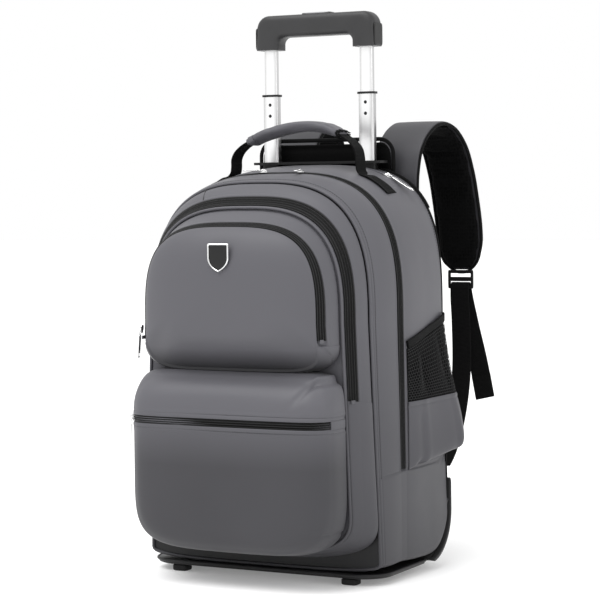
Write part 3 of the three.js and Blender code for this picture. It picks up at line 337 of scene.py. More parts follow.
# Painted highlight: thin pale lines across the tape stand for the light the coil catches.
coil_highlight_links = {"Vector": mapped(tape_tree, "UV"), "Scale": 92.0, "Phase Offset": 1.2}
coil_highlight_wave = add_node(tape_tree, "ShaderNodeTexWave", coil_highlight_links, bands_direction="Y")
tinted(tape_tree, tape_shader, coil_highlight_wave.outputs["Fac"], grey(0.002), grey(0.03), 0.86, 1.0)
lining_look = woven_black("black_lining_cloth", 0.002, 700.0, 0.0001)
binding_look = woven_black("edge_binding", 0.005, 460.0, 0.0002, rough=0.65)
mesh_look = spacer_mesh("spacer_mesh_black", 0.0022)
net_look = woven_black("net_strand", 0.034, 900.0, 0.0001, rough=0.45)
thread_look, thread_tree, thread_shader = start_material(
    "thread_dark", grey(0.02), 0.6, sheen=0.05, specular=0.2,
)
thread_twist = {"Vector": mapped(thread_tree), "Scale": 2400.0}
thread_wave = add_node(thread_tree, "ShaderNodeTexWave", thread_twist, bands_direction="DIAGONAL")
bumped(thread_tree, thread_shader, thread_wave.outputs["Fac"], 0.0001, 0.4)
print("black goods: webbing, tape, lining, binding, mesh, net, thread")

# %% [markdown]
# Hard goods: satin moulded plastic with a spark-eroded grain, brushed and anodised aluminium whose
# fine scratches run up the tube, plated zinc for the zip sliders, and the tyres' rubber. The tubes carry
# a painted shade: their colour is darker where they turn from their flat front to their narrow sides.

# %% Plastic, aluminium, plated metal and rubber
def moulded(name, tone, rough, grain=0.00012, coat=0.0):
    look, tree, shader = start_material(name, grey(tone), rough, coat=coat, specular=0.3)
    place = mapped(tree)
    tinted(tree, shader, noise(tree, place, 25.0, 3.0), grey(tone * 0.9), grey(tone * 1.1))
    roughened(tree, shader, noise(tree, place, 90.0, 4.0), rough - 0.07, rough + 0.07)
    bumped(tree, shader, noise(tree, place, 1500.0, 2.0), grain, 0.35)
    return look


def brushed(name, tone, rough, stretch):
    """Scratches: noise squeezed on one axis, in roughness and in a very shallow bump."""
    look, tree, shader = start_material(name, grey(tone, 1.0), rough, metallic=1.0)
    place = mapped(tree, "Object", stretch)
    lines = noise(tree, place, 1.0, 4.0, 0.6)
    roughened(tree, shader, lines, rough - 0.08, rough + 0.1)
    tinted(tree, shader, lines, grey(tone * 0.94, 1.0), grey(tone, 1.0), 0.35, 0.65)
    bumped(tree, shader, lines, 0.00006, 0.25)
    return look


TUBE_OFFSET, TUBE_FLAT, TUBE_CORNER = 0.065, 0.0055, 0.0098
grip_look = moulded("grip_plastic", 0.029, 0.42)
black_plastic = moulded("black_plastic", 0.007, 0.4)
guard_look = moulded("guard_plastic", 0.030, 0.52, 0.0003)
rubber_look = moulded("tyre_rubber", 0.008, 0.75, 0.0004)
hub_look = moulded("hub_plastic", 0.05, 0.45)
button_look = moulded("button_plastic", 0.30, 0.38)
tube_look = brushed("anodised_tube", 0.93, 0.30, (900.0, 900.0, 14.0))
tube_tree = tube_look.node_tree
# Painted shade: the tube's colour darkens from its flat front to its narrow sides.
tube_x = add_node(tube_tree, "ShaderNodeSeparateXYZ", {"Vector": mapped(tube_tree)})
tube_side = add_node(tube_tree, "ShaderNodeMath", {0: tube_x.outputs["X"]}, operation="ABSOLUTE")
tube_off = add_node(
    tube_tree, "ShaderNodeMath", {0: tube_side.outputs["Value"], 1: TUBE_OFFSET}, operation="SUBTRACT",
)
tube_side_shade = add_node(tube_tree, "ShaderNodeMath", {0: tube_off.outputs["Value"]}, operation="ABSOLUTE")
tinted(
    tube_tree, tube_tree.nodes["Principled BSDF"], tube_side_shade.outputs["Value"],
    grey(0.90, 1.0), grey(0.42, 1.0), TUBE_FLAT, TUBE_CORNER,
)
plated_look = brushed("plated_zinc", 0.80, 0.16, (160.0, 160.0, 160.0))
print("hard finishes are ready")

# %% [markdown]
# Most of the bag is sheets and strips. A sheet is a function of two parameters worked out on a grid,
# and a strip is a profile carried along a path. Both end up as a grid of points, so one helper turns
# grids into meshes, gives them a UV map in metres and makes the faces point outwards.

# %% From grids of points to pieces
def smooth_between(at, values, where):
    """Cubic reading of a table: between two rows the curve keeps the slopes of their neighbours."""
    at = np.asarray(at, float)
    values = np.asarray(values, float)
    slope = np.gradient(values, at, axis=0)
    where = np.clip(where, at[0], at[-1])
    row = np.clip(np.searchsorted(at, where, side="right") - 1, 0, len(at) - 2)
    step = at[row + 1] - at[row]
    t = (where - at[row]) / step
    if values.ndim > 1:
        step, t = step[..., None], t[..., None]
    start = (1 + 2 * t) * (1 - t) ** 2 * values[row] + t * (1 - t) ** 2 * step * slope[row]
    return start + t**2 * (3 - 2 * t) * values[row + 1] + t**2 * (t - 1) * step * slope[row + 1]


def ease(t):
    """0 below 0, 1 above 1, and the smooth step 3t^2 - 2t^3 between."""
    t = np.clip(t, 0.0, 1.0)
    return t * t * (3 - 2 * t)


def hump(t, middle, width):
    """A soft bump of height 1: exp(-((t - middle) / width)^2)."""
    return np.exp(-(((t - middle) / width) ** 2))


def run_length(points):
    """Distance along a row of points, from 0 at the first one."""
    steps = np.linalg.norm(np.diff(points, axis=0), axis=1)
    return np.concatenate([[0], np.cumsum(steps)])


def signed_power(value, power):
    """sign(value) |value|^power, the curve that superellipses are made of."""
    return np.sign(value) * np.abs(value) ** power


def curve_through(stops, count):
    """A smooth curve through rows of numbers; the parameter grows with the distance between stops."""
    stops = np.asarray(stops, float)
    length = run_length(stops[:, :3])
    return smooth_between(length, stops, np.linspace(0, length[-1], count))


def grid_part(points, loop_rows=False, loop_columns=False, caps=False, keep=None):
    """Quads of a grid of points (rows, columns, 3), with corner UVs equal to arc length in metres.
    caps closes the first and the last row, whose columns run round a closed section."""
    rows, columns = points.shape[:2]
    i, j = np.meshgrid(
        np.arange(rows if loop_rows else rows - 1),
        np.arange(columns if loop_columns else columns - 1), indexing="ij",
    )
    ni, nj = (i + 1) % rows, (j + 1) % columns
    quads = np.stack([i * columns + j, ni * columns + j, ni * columns + nj, i * columns + nj], -1)
    along = np.linalg.norm(np.roll(points, -1, 0) - points, axis=2).mean(1)
    across = np.linalg.norm(np.roll(points, -1, 1) - points, axis=2).mean(0)
    u = np.concatenate([[0], np.cumsum(along)]) * MM
    v = np.concatenate([[0], np.cumsum(across)]) * MM
    uv = np.stack([
        np.stack([u[i], u[i + 1], u[i + 1], u[i]], -1), np.stack([v[j], v[j], v[j + 1], v[j + 1]], -1),
    ], -1)
    quads, uv = quads.reshape(-1, 4), uv.reshape(-1, 4, 2)
    if keep is not None:
        chosen = keep(points.reshape(-1, 3)[quads].mean(1))
        quads, uv = quads[chosen], uv[chosen]
    faces = quads.tolist()
    uvs = uv.reshape(-1, 2).tolist()
    if caps:
        for start in (0, (rows - 1) * columns):
            ring = list(range(start, start + columns))
            faces.append(ring if start else ring[::-1])
            uvs += [[0.0, 0.0]] * columns
    return points.reshape(-1, 3), faces, uvs


def outward(points, faces, centre):
    """True if the faces look away from centre: the sum of normal times (middle - centre) is above 0."""
    quads = np.array([f[:4] if len(f) > 3 else [f[0], f[1], f[2], f[2]] for f in faces])
    a, b, c, d = (points[quads[:, k]] for k in range(4))
    normal = np.cross(c - a, d - b)
    return float((normal * ((a + b + c + d) / 4 - centre)).sum()) > 0


def make_object(name, parts, look, inside=None, angle=40.0):
    """Joins parts (points in bag millimetres, faces, UVs) into one mesh object in the row frame."""
    points, faces, uvs, offset = [], [], [], 0
    for part_points, part_faces, part_uvs in parts:
        centre = part_points.mean(0) if inside is None else np.array(inside)
        if not outward(part_points, part_faces, centre):
            sizes = [len(f) for f in part_faces]
            ends = np.cumsum(sizes)
            part_uvs = [uv for end, size in zip(ends, sizes) for uv in part_uvs[end - size:end][::-1]]
            part_faces = [f[::-1] for f in part_faces]
        points.append(part_points)
        faces += [[k + offset for k in f] for f in part_faces]
        uvs += part_uvs
        offset += len(part_points)
    mesh = bpy.data.meshes.new(name)
    mesh.from_pydata(to_row(np.concatenate(points)).tolist(), [], faces)
    mesh.uv_layers.new(name="UVMap").data.foreach_set("uv", np.array(uvs, np.float32).ravel())
    mesh.shade_smooth()
    mesh.set_sharp_from_angle(angle=np.radians(angle))
    mesh.materials.append(look)
    made = bpy.data.objects.new(name, mesh)
    bpy.context.scene.collection.objects.link(made)
    return made


def settle(piece, body, slot, *nodes):
    """Rides a piece on its body and hides the nodes that it stands for. The slot is not used."""
    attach(piece, body)
    if nodes:
        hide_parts(*nodes)
    print(piece.name, "faces:", len(piece.data.polygons))
    return piece


def thicken(piece, thickness=WALL, levels=0):
    """Gives a sheet its thickness inwards, and optionally rounds it by subdivision first."""
    if levels:
        rounder = piece.modifiers.new("rounder", "SUBSURF")
        rounder.levels = rounder.render_levels = levels
    wall = piece.modifiers.new("wall", "SOLIDIFY")
    wall.thickness = thickness * MM
    wall.offset = -1.0
    return piece


def sweep(path, section, across, loop=False):
    """A section of (sideways, outwards) pairs carried along a path: point + s * side + o * normal.
    The side is across made square to the path, and the normal is path direction times side."""
    path = np.asarray(path, float)
    ahead = np.roll(path, -1, 0) - np.roll(path, 1, 0) if loop else np.gradient(path, axis=0)
    ahead = ahead / np.linalg.norm(ahead, axis=1, keepdims=True)
    side = np.broadcast_to(np.asarray(across, float), path.shape)
    side = side - (side * ahead).sum(1, keepdims=True) * ahead
    side = side / np.linalg.norm(side, axis=1, keepdims=True)
    normal = np.cross(ahead, side)
    section = np.asarray(section, float)
    if section.ndim == 2:
        section = np.broadcast_to(section, (len(path), *section.shape))
    return path[:, None] + section[..., :1] * side[:, None] + section[..., 1:] * normal[:, None]


def capped(points):
    """A row of closed sections with both ends closed."""
    return grid_part(points, loop_columns=True, caps=True)


def swept(path, section, across):
    """A closed section carried along an open path, with both ends closed."""
    return capped(sweep(path, section, across))


def swept_ring(path, section, across):
    """A closed section carried round a closed path."""
    return grid_part(sweep(path, section, across, loop=True), True, True)


def superellipse(width, depth, power, count):
    """|x/a|^n + |y/b|^n = 1: a circle at power 2, a rounded rectangle at 5 and more."""
    angle = np.linspace(0, 2 * np.pi, count, endpoint=False)
    c, s = np.cos(angle), np.sin(angle)
    x = signed_power(c, 2 / power) * width / 2
    y = signed_power(s, 2 / power) * depth / 2
    return np.stack([x, y], -1)


def even_round(points, count):
    """Resamples a closed outline so that its points lie at even steps."""
    closed = np.vstack([points, points[:1]])
    length = run_length(closed)
    at = np.linspace(0, length[-1], count, endpoint=False)
    return np.stack([np.interp(at, length, closed[:, k]) for k in range(closed.shape[1])], -1)


def rounded_rectangle(width, depth, radius, corner_steps=5):
    """The outline of a rectangle whose corners are quarter circles of the given radius."""
    turn = np.linspace(0, np.pi / 2, corner_steps)
    x, y = width / 2 - radius, depth / 2 - radius
    corner = np.stack([np.cos(turn), np.sin(turn)], -1) * radius
    return np.concatenate([
        corner + [x, y], corner[:, ::-1] * [-1, 1] + [-x, y], -corner + [-x, -y],
        corner[:, ::-1] * [1, -1] + [x, -y],
    ])


def pebble(centre, size, power=5.0, rows=12, columns=20, axes=None):
    """A rounded block: a superellipsoid, cos^p(a) cos^p(b), cos^p(a) sin^p(b), sin^p(a)."""
    a = np.linspace(-np.pi / 2, np.pi / 2, rows)[:, None]
    b = np.linspace(0, 2 * np.pi, columns, endpoint=False)[None]

    def bend(value):
        return signed_power(value, 2 / power)

    shape = np.stack([
        bend(np.cos(a)) * bend(np.cos(b)), bend(np.cos(a)) * bend(np.sin(b)), bend(np.sin(a)) + 0 * b,
    ], -1) * np.asarray(size, float) / 2
    axes = np.eye(3) if axes is None else np.asarray(axes, float)
    return capped(np.asarray(centre, float) + shape @ axes)


def mirrored(part):
    """The same part on the other side of the bag's middle plane."""
    return part[0] * [-1, 1, 1], part[1], part[2]


def as_drawn(part):
    return part


BOTH_SIDES = (("right", as_drawn), ("left", mirrored))


print("helpers for grids, sheets, sweeps and blocks are ready")

# %% [markdown]
# Every cloth shell follows one outline law, which the solids share. A point is named by its setback
# from the rear edge and by how far round the outline it lies: 0 at the top middle, 1 at the shoulder,
# 2 above the lower corner, 3 at the bottom middle, negative on the left. Only the main compartment's
# lower corners are a few millimetres tighter here than in the solids.

# %% The outline of the bag
OUTLINE_COLUMNS = ("setback", "shoulder", "skirt", "crown", "square")
OUTLINE = np.array([
    (0.000, 1.000, 1.032, 1.000, 3.30), (0.200, 1.006, 1.032, 0.995, 3.20),
    (0.462, 1.006, 1.020, 0.983, 3.00), (0.513, 0.994, 1.012, 0.979, 3.00),
    (0.600, 0.962, 0.995, 0.971, 2.95), (0.693, 0.910, 0.970, 0.960, 2.90),
    (0.798, 0.858, 0.905, 0.923, 2.90), (0.853, 0.800, 0.850, 0.899, 2.90),
    (0.958, 0.755, 0.820, 0.866, 3.10), (1.000, 0.710, 0.780, 0.855, 3.30),
])


def outline_value(column, setback):
    values = OUTLINE[:, OUTLINE_COLUMNS.index(column)]
    return smooth_between(OUTLINE[:, 0] * SHELL_DEPTH, values, setback)


def main_floor(setback):
    """Underside of the main compartment, which rises in a quarter circle at the rear."""
    inward = np.clip(REAR_RADIUS - setback, 0, REAR_RADIUS)
    return BASE_HEIGHT + REAR_RADIUS - np.sqrt(REAR_RADIUS**2 - inward**2)


def middle_floor(setback):
    return MIDDLE_FLOOR + (FRONT_FLOOR - MIDDLE_FLOOR) * (setback - MAIN_DEPTH) / MIDDLE_DEPTH


UNDER_MAIN = {"floor": main_floor, "rise": MAIN_RISE, "square": 3.4}
UNDER_MIDDLE = {"floor": middle_floor, "rise": 2.1 * CORNER_RISE, "square": 3.0}
UNDER_FRONT = {"floor": lambda setback: FRONT_FLOOR + 0 * setback, "rise": 2.1 * CORNER_RISE, "square": 2.8}


def bag_point(setback, along, under, grow=0.0):
    """The arch is a superellipse over the shoulders, the sides are straight, and each lower corner
    is a quarter of another superellipse. grow moves the point outwards."""
    setback, along, grow = np.broadcast_arrays(*(np.asarray(v, float) for v in (setback, along, grow)))
    shoulder = outline_value("shoulder", setback) * HALF_WIDTH + grow
    skirt = outline_value("skirt", setback) * HALF_WIDTH + grow
    crown = outline_value("crown", setback) * BAG_HEIGHT + grow
    power = 2 / outline_value("square", setback)
    corner = under["floor"](setback) + under["rise"]
    way = np.abs(along)
    arch = (1 - np.clip(way, 0, 1)) * np.pi / 2
    down = np.clip(way - 1, 0, 1)
    low = np.clip(way - 2, 0, 1) * np.pi / 2
    bend = 2 / under["square"]
    x = np.where(way <= 1, shoulder * np.cos(arch) ** power, shoulder + (skirt - shoulder) * down)
    x = np.where(way > 2, skirt * np.clip(np.cos(low), 0, 1) ** bend, x)
    z = SHOULDER_HEIGHT + (crown - SHOULDER_HEIGHT) * np.sin(arch) ** power
    z = np.where(way > 1, SHOULDER_HEIGHT + (corner - SHOULDER_HEIGHT) * down, z)
    floor_depth = under["rise"] + grow
    z = np.where(way > 2, corner - floor_depth * np.sin(low) ** bend, z)
    return np.stack([np.where(along < 0, -x, x), -setback, z], -1)


def even_along(reach, count, setback, under):
    """Values of along from -reach to reach that lie at even steps on the cloth at one setback."""
    fine = np.linspace(-reach, reach, 6001)
    points = bag_point(setback, fine, under)
    length = run_length(points)
    return np.interp(np.linspace(0, length[-1], count), length, fine)


def height_to_along(z, under):
    """The along value of a height on the straight side below the shoulder."""
    return 1 + (SHOULDER_HEIGHT - z) / (SHOULDER_HEIGHT - under["floor"](np.array(60.0)) - under["rise"])


print("outline law: widest", round(HALF_WIDTH * 2 * 1.032, 1), "mm across the skirt")

# %% [markdown]
# Cloth is never quite flat: it puffs between its seams, dips along a stitched line and stands up where
# an edge is folded. Those small heights are written as a relief, a sum of humps and steps, and every
# point of a sheet moves by its relief along the sheet's own normal.

# %% Relief and shared sheet helpers
def graded(start, end, step, features, fine=0.8, reach=3.0):
    """Even steps from start to end, with finer steps around each feature."""
    plain = np.linspace(start, end, int(round((end - start) / step)) + 1)
    close = [f + np.arange(-reach, reach + fine / 2, fine) for f in features]
    every = np.unique(np.round(np.concatenate([plain, *close]), 3))
    every = every[(every >= start) & (every <= end)]
    kept = np.concatenate([[True], np.diff(every) > fine * 0.45])
    return every[kept]


def grid_normals(points, loop_rows=False, loop_columns=False, centre=INSIDE_BAG):
    """Unit normals of a grid, from its differences both ways, turned away from centre."""
    def slope(axis, loop):
        if loop:
            return np.roll(points, -1, axis) - np.roll(points, 1, axis)
        return np.gradient(points, axis=axis)

    normal = np.cross(slope(0, loop_rows), slope(1, loop_columns))
    size = np.linalg.norm(normal, axis=-1, keepdims=True)
    normal = normal / np.maximum(size, 1e-9)
    if (normal * (points - np.array(centre))).sum() < 0:
        normal = -normal
    return normal


def waves(points, size, height):
    """Slow folds in slack cloth: three sines that run in different directions, never in step."""
    x, y, z = np.moveaxis(points / size, -1, 0)
    first = np.sin(1.7 * x + 0.9 * z + 0.4)
    second = np.sin(1.1 * z - 1.6 * y + 1.9)
    third = np.sin(0.8 * x + 2.1 * y - 1.3 * z)
    return height * (first + second + third) / 3


WELL_HALF, WELL_FRONT, WELL_TOP, WHEEL_SPREAD = 17.5, 46.0, 69.0, 118.0


def clear_of_wells(centres):
    """Cloth stops where the two wheel housings stand in the lower rear corners."""
    x, y, z = np.abs(centres[:, 0]), centres[:, 1], centres[:, 2]
    return ~((np.abs(x - WHEEL_SPREAD) < WELL_HALF) & (y > -WELL_FRONT) & (z < WELL_TOP))


print("relief helpers are ready")

# %% [markdown]
# The main compartment's side is one long band of cloth that runs round the whole bag. On the real bag
# a zip splits it, a stitched seam crosses it low down, and both edges turn in where they meet the
# pipings. A band on a grid, with the zip's channel pressed into it, keeps it a single clean sheet.

# %% Main compartment band
ZIP_WIDTH = 11.0
ZIP_MAIN, ZIP_MAIN_REACH = 116.0, 1.629
ZIP_REAR, ZIP_REAR_REACH = 30.5, 0.30
SEAM_HEIGHT = 127.0


def zip_channel(offset, width, inside):
    """Pressed in by 1.4 under the zip, with a folded lip standing up on both sides of it."""
    half = width / 2
    pressed = -1.4 * ease((half + 0.6 - np.abs(offset)) / 0.9)
    lip = 0.55 * hump(np.abs(offset), half + 1.7, 1.0)
    return (pressed + lip) * inside


def main_relief(points, setback, along):
    rear_puff = 2.4 * np.sin(np.pi * np.clip(setback / (ZIP_MAIN - 6), 0, 1)) ** 0.8
    front_puff = 1.1 * np.sin(np.pi * np.clip((setback - ZIP_MAIN - 6) / (MAIN_DEPTH - ZIP_MAIN - 6), 0, 1))
    zipped = ease((ZIP_MAIN_REACH + 0.01 - np.abs(along)) / 0.01)
    rear_zipped = ease((ZIP_REAR_REACH + 0.01 - np.abs(along)) / 0.01)
    channel = zip_channel(setback - ZIP_MAIN, ZIP_WIDTH, zipped)
    channel = channel + zip_channel(setback - ZIP_REAR, ZIP_WIDTH * 0.6, rear_zipped)
    below = points[..., 2] - SEAM_HEIGHT + 0.09 * (setback - ZIP_MAIN).clip(0)
    seam = 0.7 * ease(-below / 1.2) - 0.5 * hump(below, 1.2, 1.0)
    seam = seam * ease((np.abs(along) - 1.05) / 0.1)
    stitch_line = -0.45 * hump(setback, MAIN_DEPTH - 6.5, 0.8)
    turned_in = -2.2 * hump(setback, MAIN_DEPTH + 0.5, 2.2) - 1.2 * hump(setback, 0.0, 2.0)
    return rear_puff + front_puff + channel + seam + stitch_line + turned_in + waves(points, 62.0, 0.9)


main_setbacks = graded(
    0.0, MAIN_DEPTH - 1.6, 6.0, [
        0.0, ZIP_REAR, ZIP_MAIN - 6.5, ZIP_MAIN + 6.5, MAIN_DEPTH - 6.5, MAIN_DEPTH - 2,
    ],
)
seam_along = height_to_along(SEAM_HEIGHT + np.arange(-2.4, 4.0, 0.8), UNDER_MAIN)
main_along = np.concatenate([even_along(3.0, 520, 80.0, UNDER_MAIN)[:-1], seam_along, -seam_along])
main_along = np.unique(np.round(main_along, 5))
setback_grid, along_grid = np.meshgrid(main_setbacks, main_along, indexing="ij")
main_band = bag_point(setback_grid, along_grid, UNDER_MAIN)
main_normals = grid_normals(main_band, loop_columns=True, centre=(0.0, -80.0, 240.0))
main_band = main_band + main_normals * main_relief(main_band, setback_grid, along_grid)[..., None]
gusset_main = make_object(
    "gusset_main", [grid_part(main_band, loop_columns=True, keep=clear_of_wells)], grey_cloth,
    inside=(0.0, -80.0, 240.0), angle=60.0,
)
thicken(gusset_main)
settle(gusset_main, "bag", "grey_fabric", "main_gusset")

# %% [markdown]
# A zip is a woven tape with a coil down its middle. Its section has the two tape halves, a groove on
# each side where the slider runs and the coil's two rows, whose height rises and falls with every
# tooth. Carried along the outline as one closed section, it stays light enough to show each tooth.

# %% Zips
TOOTH_PITCH = 1.7
ZIP_PROFILE = np.array([
    (-1.00, 0.10), (-0.94, 0.50), (-0.62, 0.55), (-0.54, 0.05), (-0.46, 0.45), (-0.24, 0.95), (-0.07, 0.25),
    (0.07, 0.25), (0.24, 0.95), (0.46, 0.45), (0.54, 0.05), (0.62, 0.55), (0.94, 0.50), (1.00, 0.10),
])
ZIP_TOOTH = 0.35 * np.array([0, 0, 0, 0, 0, 1, 1, -1, -1, 0, 0, 0, 0, 0])
ZIP_DEPTH, ZIP_LOWER = 1.3, 0.9


def zip_section(length, width):
    """Half-width shares and heights of the zip, whose coil rises with cos(2 pi length / pitch)."""
    tooth = np.cos(2 * np.pi * length / TOOTH_PITCH)[:, None] * ZIP_TOOTH
    offsets = np.broadcast_to(ZIP_PROFILE[:, 0] * width / 2, tooth.shape)
    heights = ZIP_PROFILE[:, 1] - ZIP_LOWER + tooth * 0.6
    under = np.full((len(length), 1), -ZIP_DEPTH - ZIP_LOWER)
    offsets = np.concatenate([offsets, offsets[:, -1:], offsets[:, :1]], 1)
    return offsets, np.concatenate([heights, under, under], 1)


def outline_zip(name, centre, reach, width, under, node, count):
    """A zip that follows the bag's outline at one setback, from one side over the top to the other."""
    along = even_along(reach, count, centre, under)
    path = bag_point(centre, along, under)
    length = run_length(path)
    offsets, heights = zip_section(length, width)
    points = bag_point(centre + offsets, along[:, None], under, heights + 0.9)
    made = make_object(name, [capped(points)], tape_look, angle=55.0)
    return settle(made, "bag", "zip_tape", node)


outline_zip("zip_main_tape", ZIP_MAIN, ZIP_MAIN_REACH, ZIP_WIDTH, UNDER_MAIN, "zip_main", 1900)
outline_zip("zip_rear_tape", ZIP_REAR, ZIP_REAR_REACH, ZIP_WIDTH * 0.6, UNDER_MAIN, "zip_rear", 420)

# %% [markdown]
# Piping is a cord wrapped in the face cloth and sewn into the seam. It reads as a thin light line with
# a dark gap in front of it, so it is a real cord here, swept round the whole outline.

# %% Pipings
PIPING_RADIUS = 1.9


def outline_cord(setback, under, radius, grow, count=460):
    """A round section carried along the closed outline at one setback."""
    along = even_along(3.0, count + 1, setback, under)[:-1]
    path = bag_point(setback, along, under, grow)
    return swept_ring(path, superellipse(2 * radius, 2 * radius, 2.0, 12), (0, 1, 0))


for name, setback, under, node in (
    ("piping_cord_middle", MAIN_DEPTH, UNDER_MAIN, "piping_middle"),
    ("piping_cord_front", MAIN_DEPTH + MIDDLE_DEPTH, UNDER_MIDDLE, "piping_front"),
):
    cord = make_object(name, [outline_cord(setback, under, PIPING_RADIUS, 0.2)], grey_cloth)
    settle(cord, "bag", "grey_fabric", node)

# %% [markdown]
# The middle compartment is a narrower band with its own zip. Where the zip ends low on each side, the
# cloth below it is a separate patch with a folded upper edge, which shows as a small step.

# %% Middle compartment band
ZIP_MIDDLE, ZIP_MIDDLE_REACH = 194.0, 1.40
MIDDLE_START, MIDDLE_END = MAIN_DEPTH + 2.0, MAIN_DEPTH + MIDDLE_DEPTH - 2.0


def middle_relief(points, setback, along):
    puff = 1.0 * np.sin(np.pi * np.clip((setback - MIDDLE_START) / (ZIP_MIDDLE - 6 - MIDDLE_START), 0, 1))
    zipped = ease((ZIP_MIDDLE_REACH - np.abs(along)) / 0.006)
    channel = zip_channel(setback - ZIP_MIDDLE, ZIP_WIDTH, zipped)
    patch = 0.8 * ease((np.abs(along) - ZIP_MIDDLE_REACH) / 0.006)
    turned_in = -2.6 * hump(setback, MIDDLE_START - 0.5, 2.0) - 2.0 * hump(setback, MIDDLE_END + 0.8, 1.6)
    return puff + channel + patch + turned_in + waves(points, 55.0, 0.5)


middle_setbacks = graded(
    MIDDLE_START, MIDDLE_END, 4.0, [MIDDLE_START, ZIP_MIDDLE - 6.5, ZIP_MIDDLE + 6.0, MIDDLE_END],
)
step_along = ZIP_MIDDLE_REACH + np.arange(-0.008, 0.02, 0.003)
middle_along = np.concatenate([even_along(3.0, 500, 185.0, UNDER_MIDDLE)[:-1], step_along, -step_along])
middle_along = np.unique(np.round(middle_along, 5))
setback_grid, along_grid = np.meshgrid(middle_setbacks, middle_along, indexing="ij")
middle_band = bag_point(setback_grid, along_grid, UNDER_MIDDLE)
middle_normals = grid_normals(middle_band, loop_columns=True, centre=(0.0, -185.0, 240.0))
middle_band = middle_band + middle_normals * middle_relief(middle_band, setback_grid, along_grid)[..., None]
gusset_middle = make_object(
    "gusset_middle", [grid_part(middle_band, loop_columns=True)], grey_cloth,
    inside=(0.0, -185.0, 240.0), angle=60.0,
)
thicken(gusset_middle)
settle(gusset_middle, "bag", "grey_fabric", "middle_gusset")
outline_zip("zip_middle_tape", ZIP_MIDDLE, ZIP_MIDDLE_REACH, ZIP_WIDTH, UNDER_MIDDLE, "zip_middle", 1500)

# %% [markdown]
# Three thin walls close the compartments. Only their lower parts show, under the compartment in front,
# so each is a shallow cushion: the outline drawn in towards its middle, swelling a little forwards.

# %% Inner walls and the back board
def wall_panel(name, setback, under, look, node, inset, swell, slot):
    """Rings of the outline that shrink to the middle; the swell grows as 1 - share^4."""
    along = even_along(3.0, 361, setback, under)[:-1]
    rim = bag_point(setback, along, under, -inset)
    middle = np.array([0.0, -setback, 0.5 * BAG_HEIGHT])
    share = np.concatenate([np.linspace(1.0, 0.9, 9), np.linspace(0.85, 0.02, 20)])[:, None, None]
    rings = middle + (rim[None] - middle) * share
    rings[..., 1] -= swell * (1 - share[..., 0] ** 4)
    made = make_object(name, [capped(rings)], look, inside=middle + [0, 30, 0])
    thicken(made, 1.2)
    return settle(made, "bag", slot, node)


wall_panel(
    "wall_main_front", MAIN_DEPTH - 0.4, UNDER_MAIN, base_cloth, "main_front_panel", 2.2, 1.2, "dark_fabric",
)
wall_panel(
    "wall_middle_front", MAIN_DEPTH + MIDDLE_DEPTH - 0.2, UNDER_MIDDLE, grey_cloth, "middle_front_panel",
    2.2, 0.8, "grey_fabric",
)

# %% [markdown]
# The front compartment starts at the front piping, runs a little forwards as a narrow side wall with
# its zip, then turns over a soft edge into the wide panel. The panel swells most in the middle and
# rolls back under itself at the crease above the pocket; that roll and a painted shade in the panel's
# cloth make the dark band there.

# %% Front compartment and panel
ZIP_FRONT, ZIP_FRONT_REACH, ZIP_FRONT_WIDTH = 233.0, 1.08, 8.8
PANEL_BULGE = 22.0
PANEL_CENTRE = 0.72 * BAG_HEIGHT
CREASE_GAP = 1.0


def front_ring(setback, way):
    """way 0 to 1 is half of the arch; 1 to 2 is a squarish superellipse down to the crease."""
    top = bag_point(setback, np.clip(way, -1, 1), UNDER_FRONT)
    low = (np.abs(way) - 1).clip(0, 1) * np.pi / 2
    drop = SHOULDER_HEIGHT - CREASE_HEIGHT - CREASE_GAP
    z = SHOULDER_HEIGHT - drop * np.sin(low) ** (2 / 5.0)
    along = height_to_along(z, UNDER_FRONT)
    wide = np.abs(bag_point(setback, along, UNDER_FRONT)[..., 0]) * np.clip(np.cos(low), 0, 1) ** (2 / 6.0)
    lower = np.stack([np.where(way < 0, -wide, wide), -setback + 0 * z, z], -1)
    return np.where((np.abs(way) > 1)[..., None], lower, top)


def front_shell_point(setback, share, way):
    """The ring shrinks by share towards the panel's centre while the panel swells by
    1 - share^2.6, to the power 0.66; along the crease only part of the depth is kept."""
    ring = front_ring(setback, way)
    swell = (1 - share**2.6).clip(0, 1) ** 0.66
    kept_low = 0.60 + 0.40 * ease((1 - share) / 0.42) + 0.40 * (1 - ease((setback - RIM) / 20.0))
    kept = kept_low + (1 - kept_low) * ease((ring[..., 2] - CREASE_HEIGHT) / 42.0)
    forward = (setback - RIM + PANEL_BULGE * swell).clip(0) * kept
    z = PANEL_CENTRE + (ring[..., 2] - PANEL_CENTRE) * share
    return np.stack([ring[..., 0] * share, -RIM - forward, z], -1)


def panel_seam_setback(z):
    """The panel's edge seam: level with the zip's inner edge, then back to the piping at the crease."""
    return ZIP_FRONT + 4.6 - 30.0 * ease((288.0 - z) / 42.0) ** 1.3


def front_relief(points, setback, share, way):
    side = ease((share - 0.985) / 0.01)
    zipped = ease((ZIP_FRONT_REACH - np.abs(way)) / 0.006)
    channel = zip_channel(setback - ZIP_FRONT, ZIP_FRONT_WIDTH, zipped) * side
    patch = 0.8 * ease((np.abs(way) - ZIP_FRONT_REACH) / 0.006) * side
    below = ease((296.0 - points[..., 2]) / 10.0) * ease((np.abs(way) - 1.03) / 0.04) * side
    from_seam = setback - panel_seam_setback(points[..., 2])
    panel_edge = (1.3 * ease(from_seam / 2.0) - 0.7 * hump(from_seam, -0.8, 1.1)) * below
    turned_in = -2.4 * hump(setback, RIM - 0.5, 2.0) * side
    return channel + patch + panel_edge + turned_in + waves(points, 48.0, 0.5)


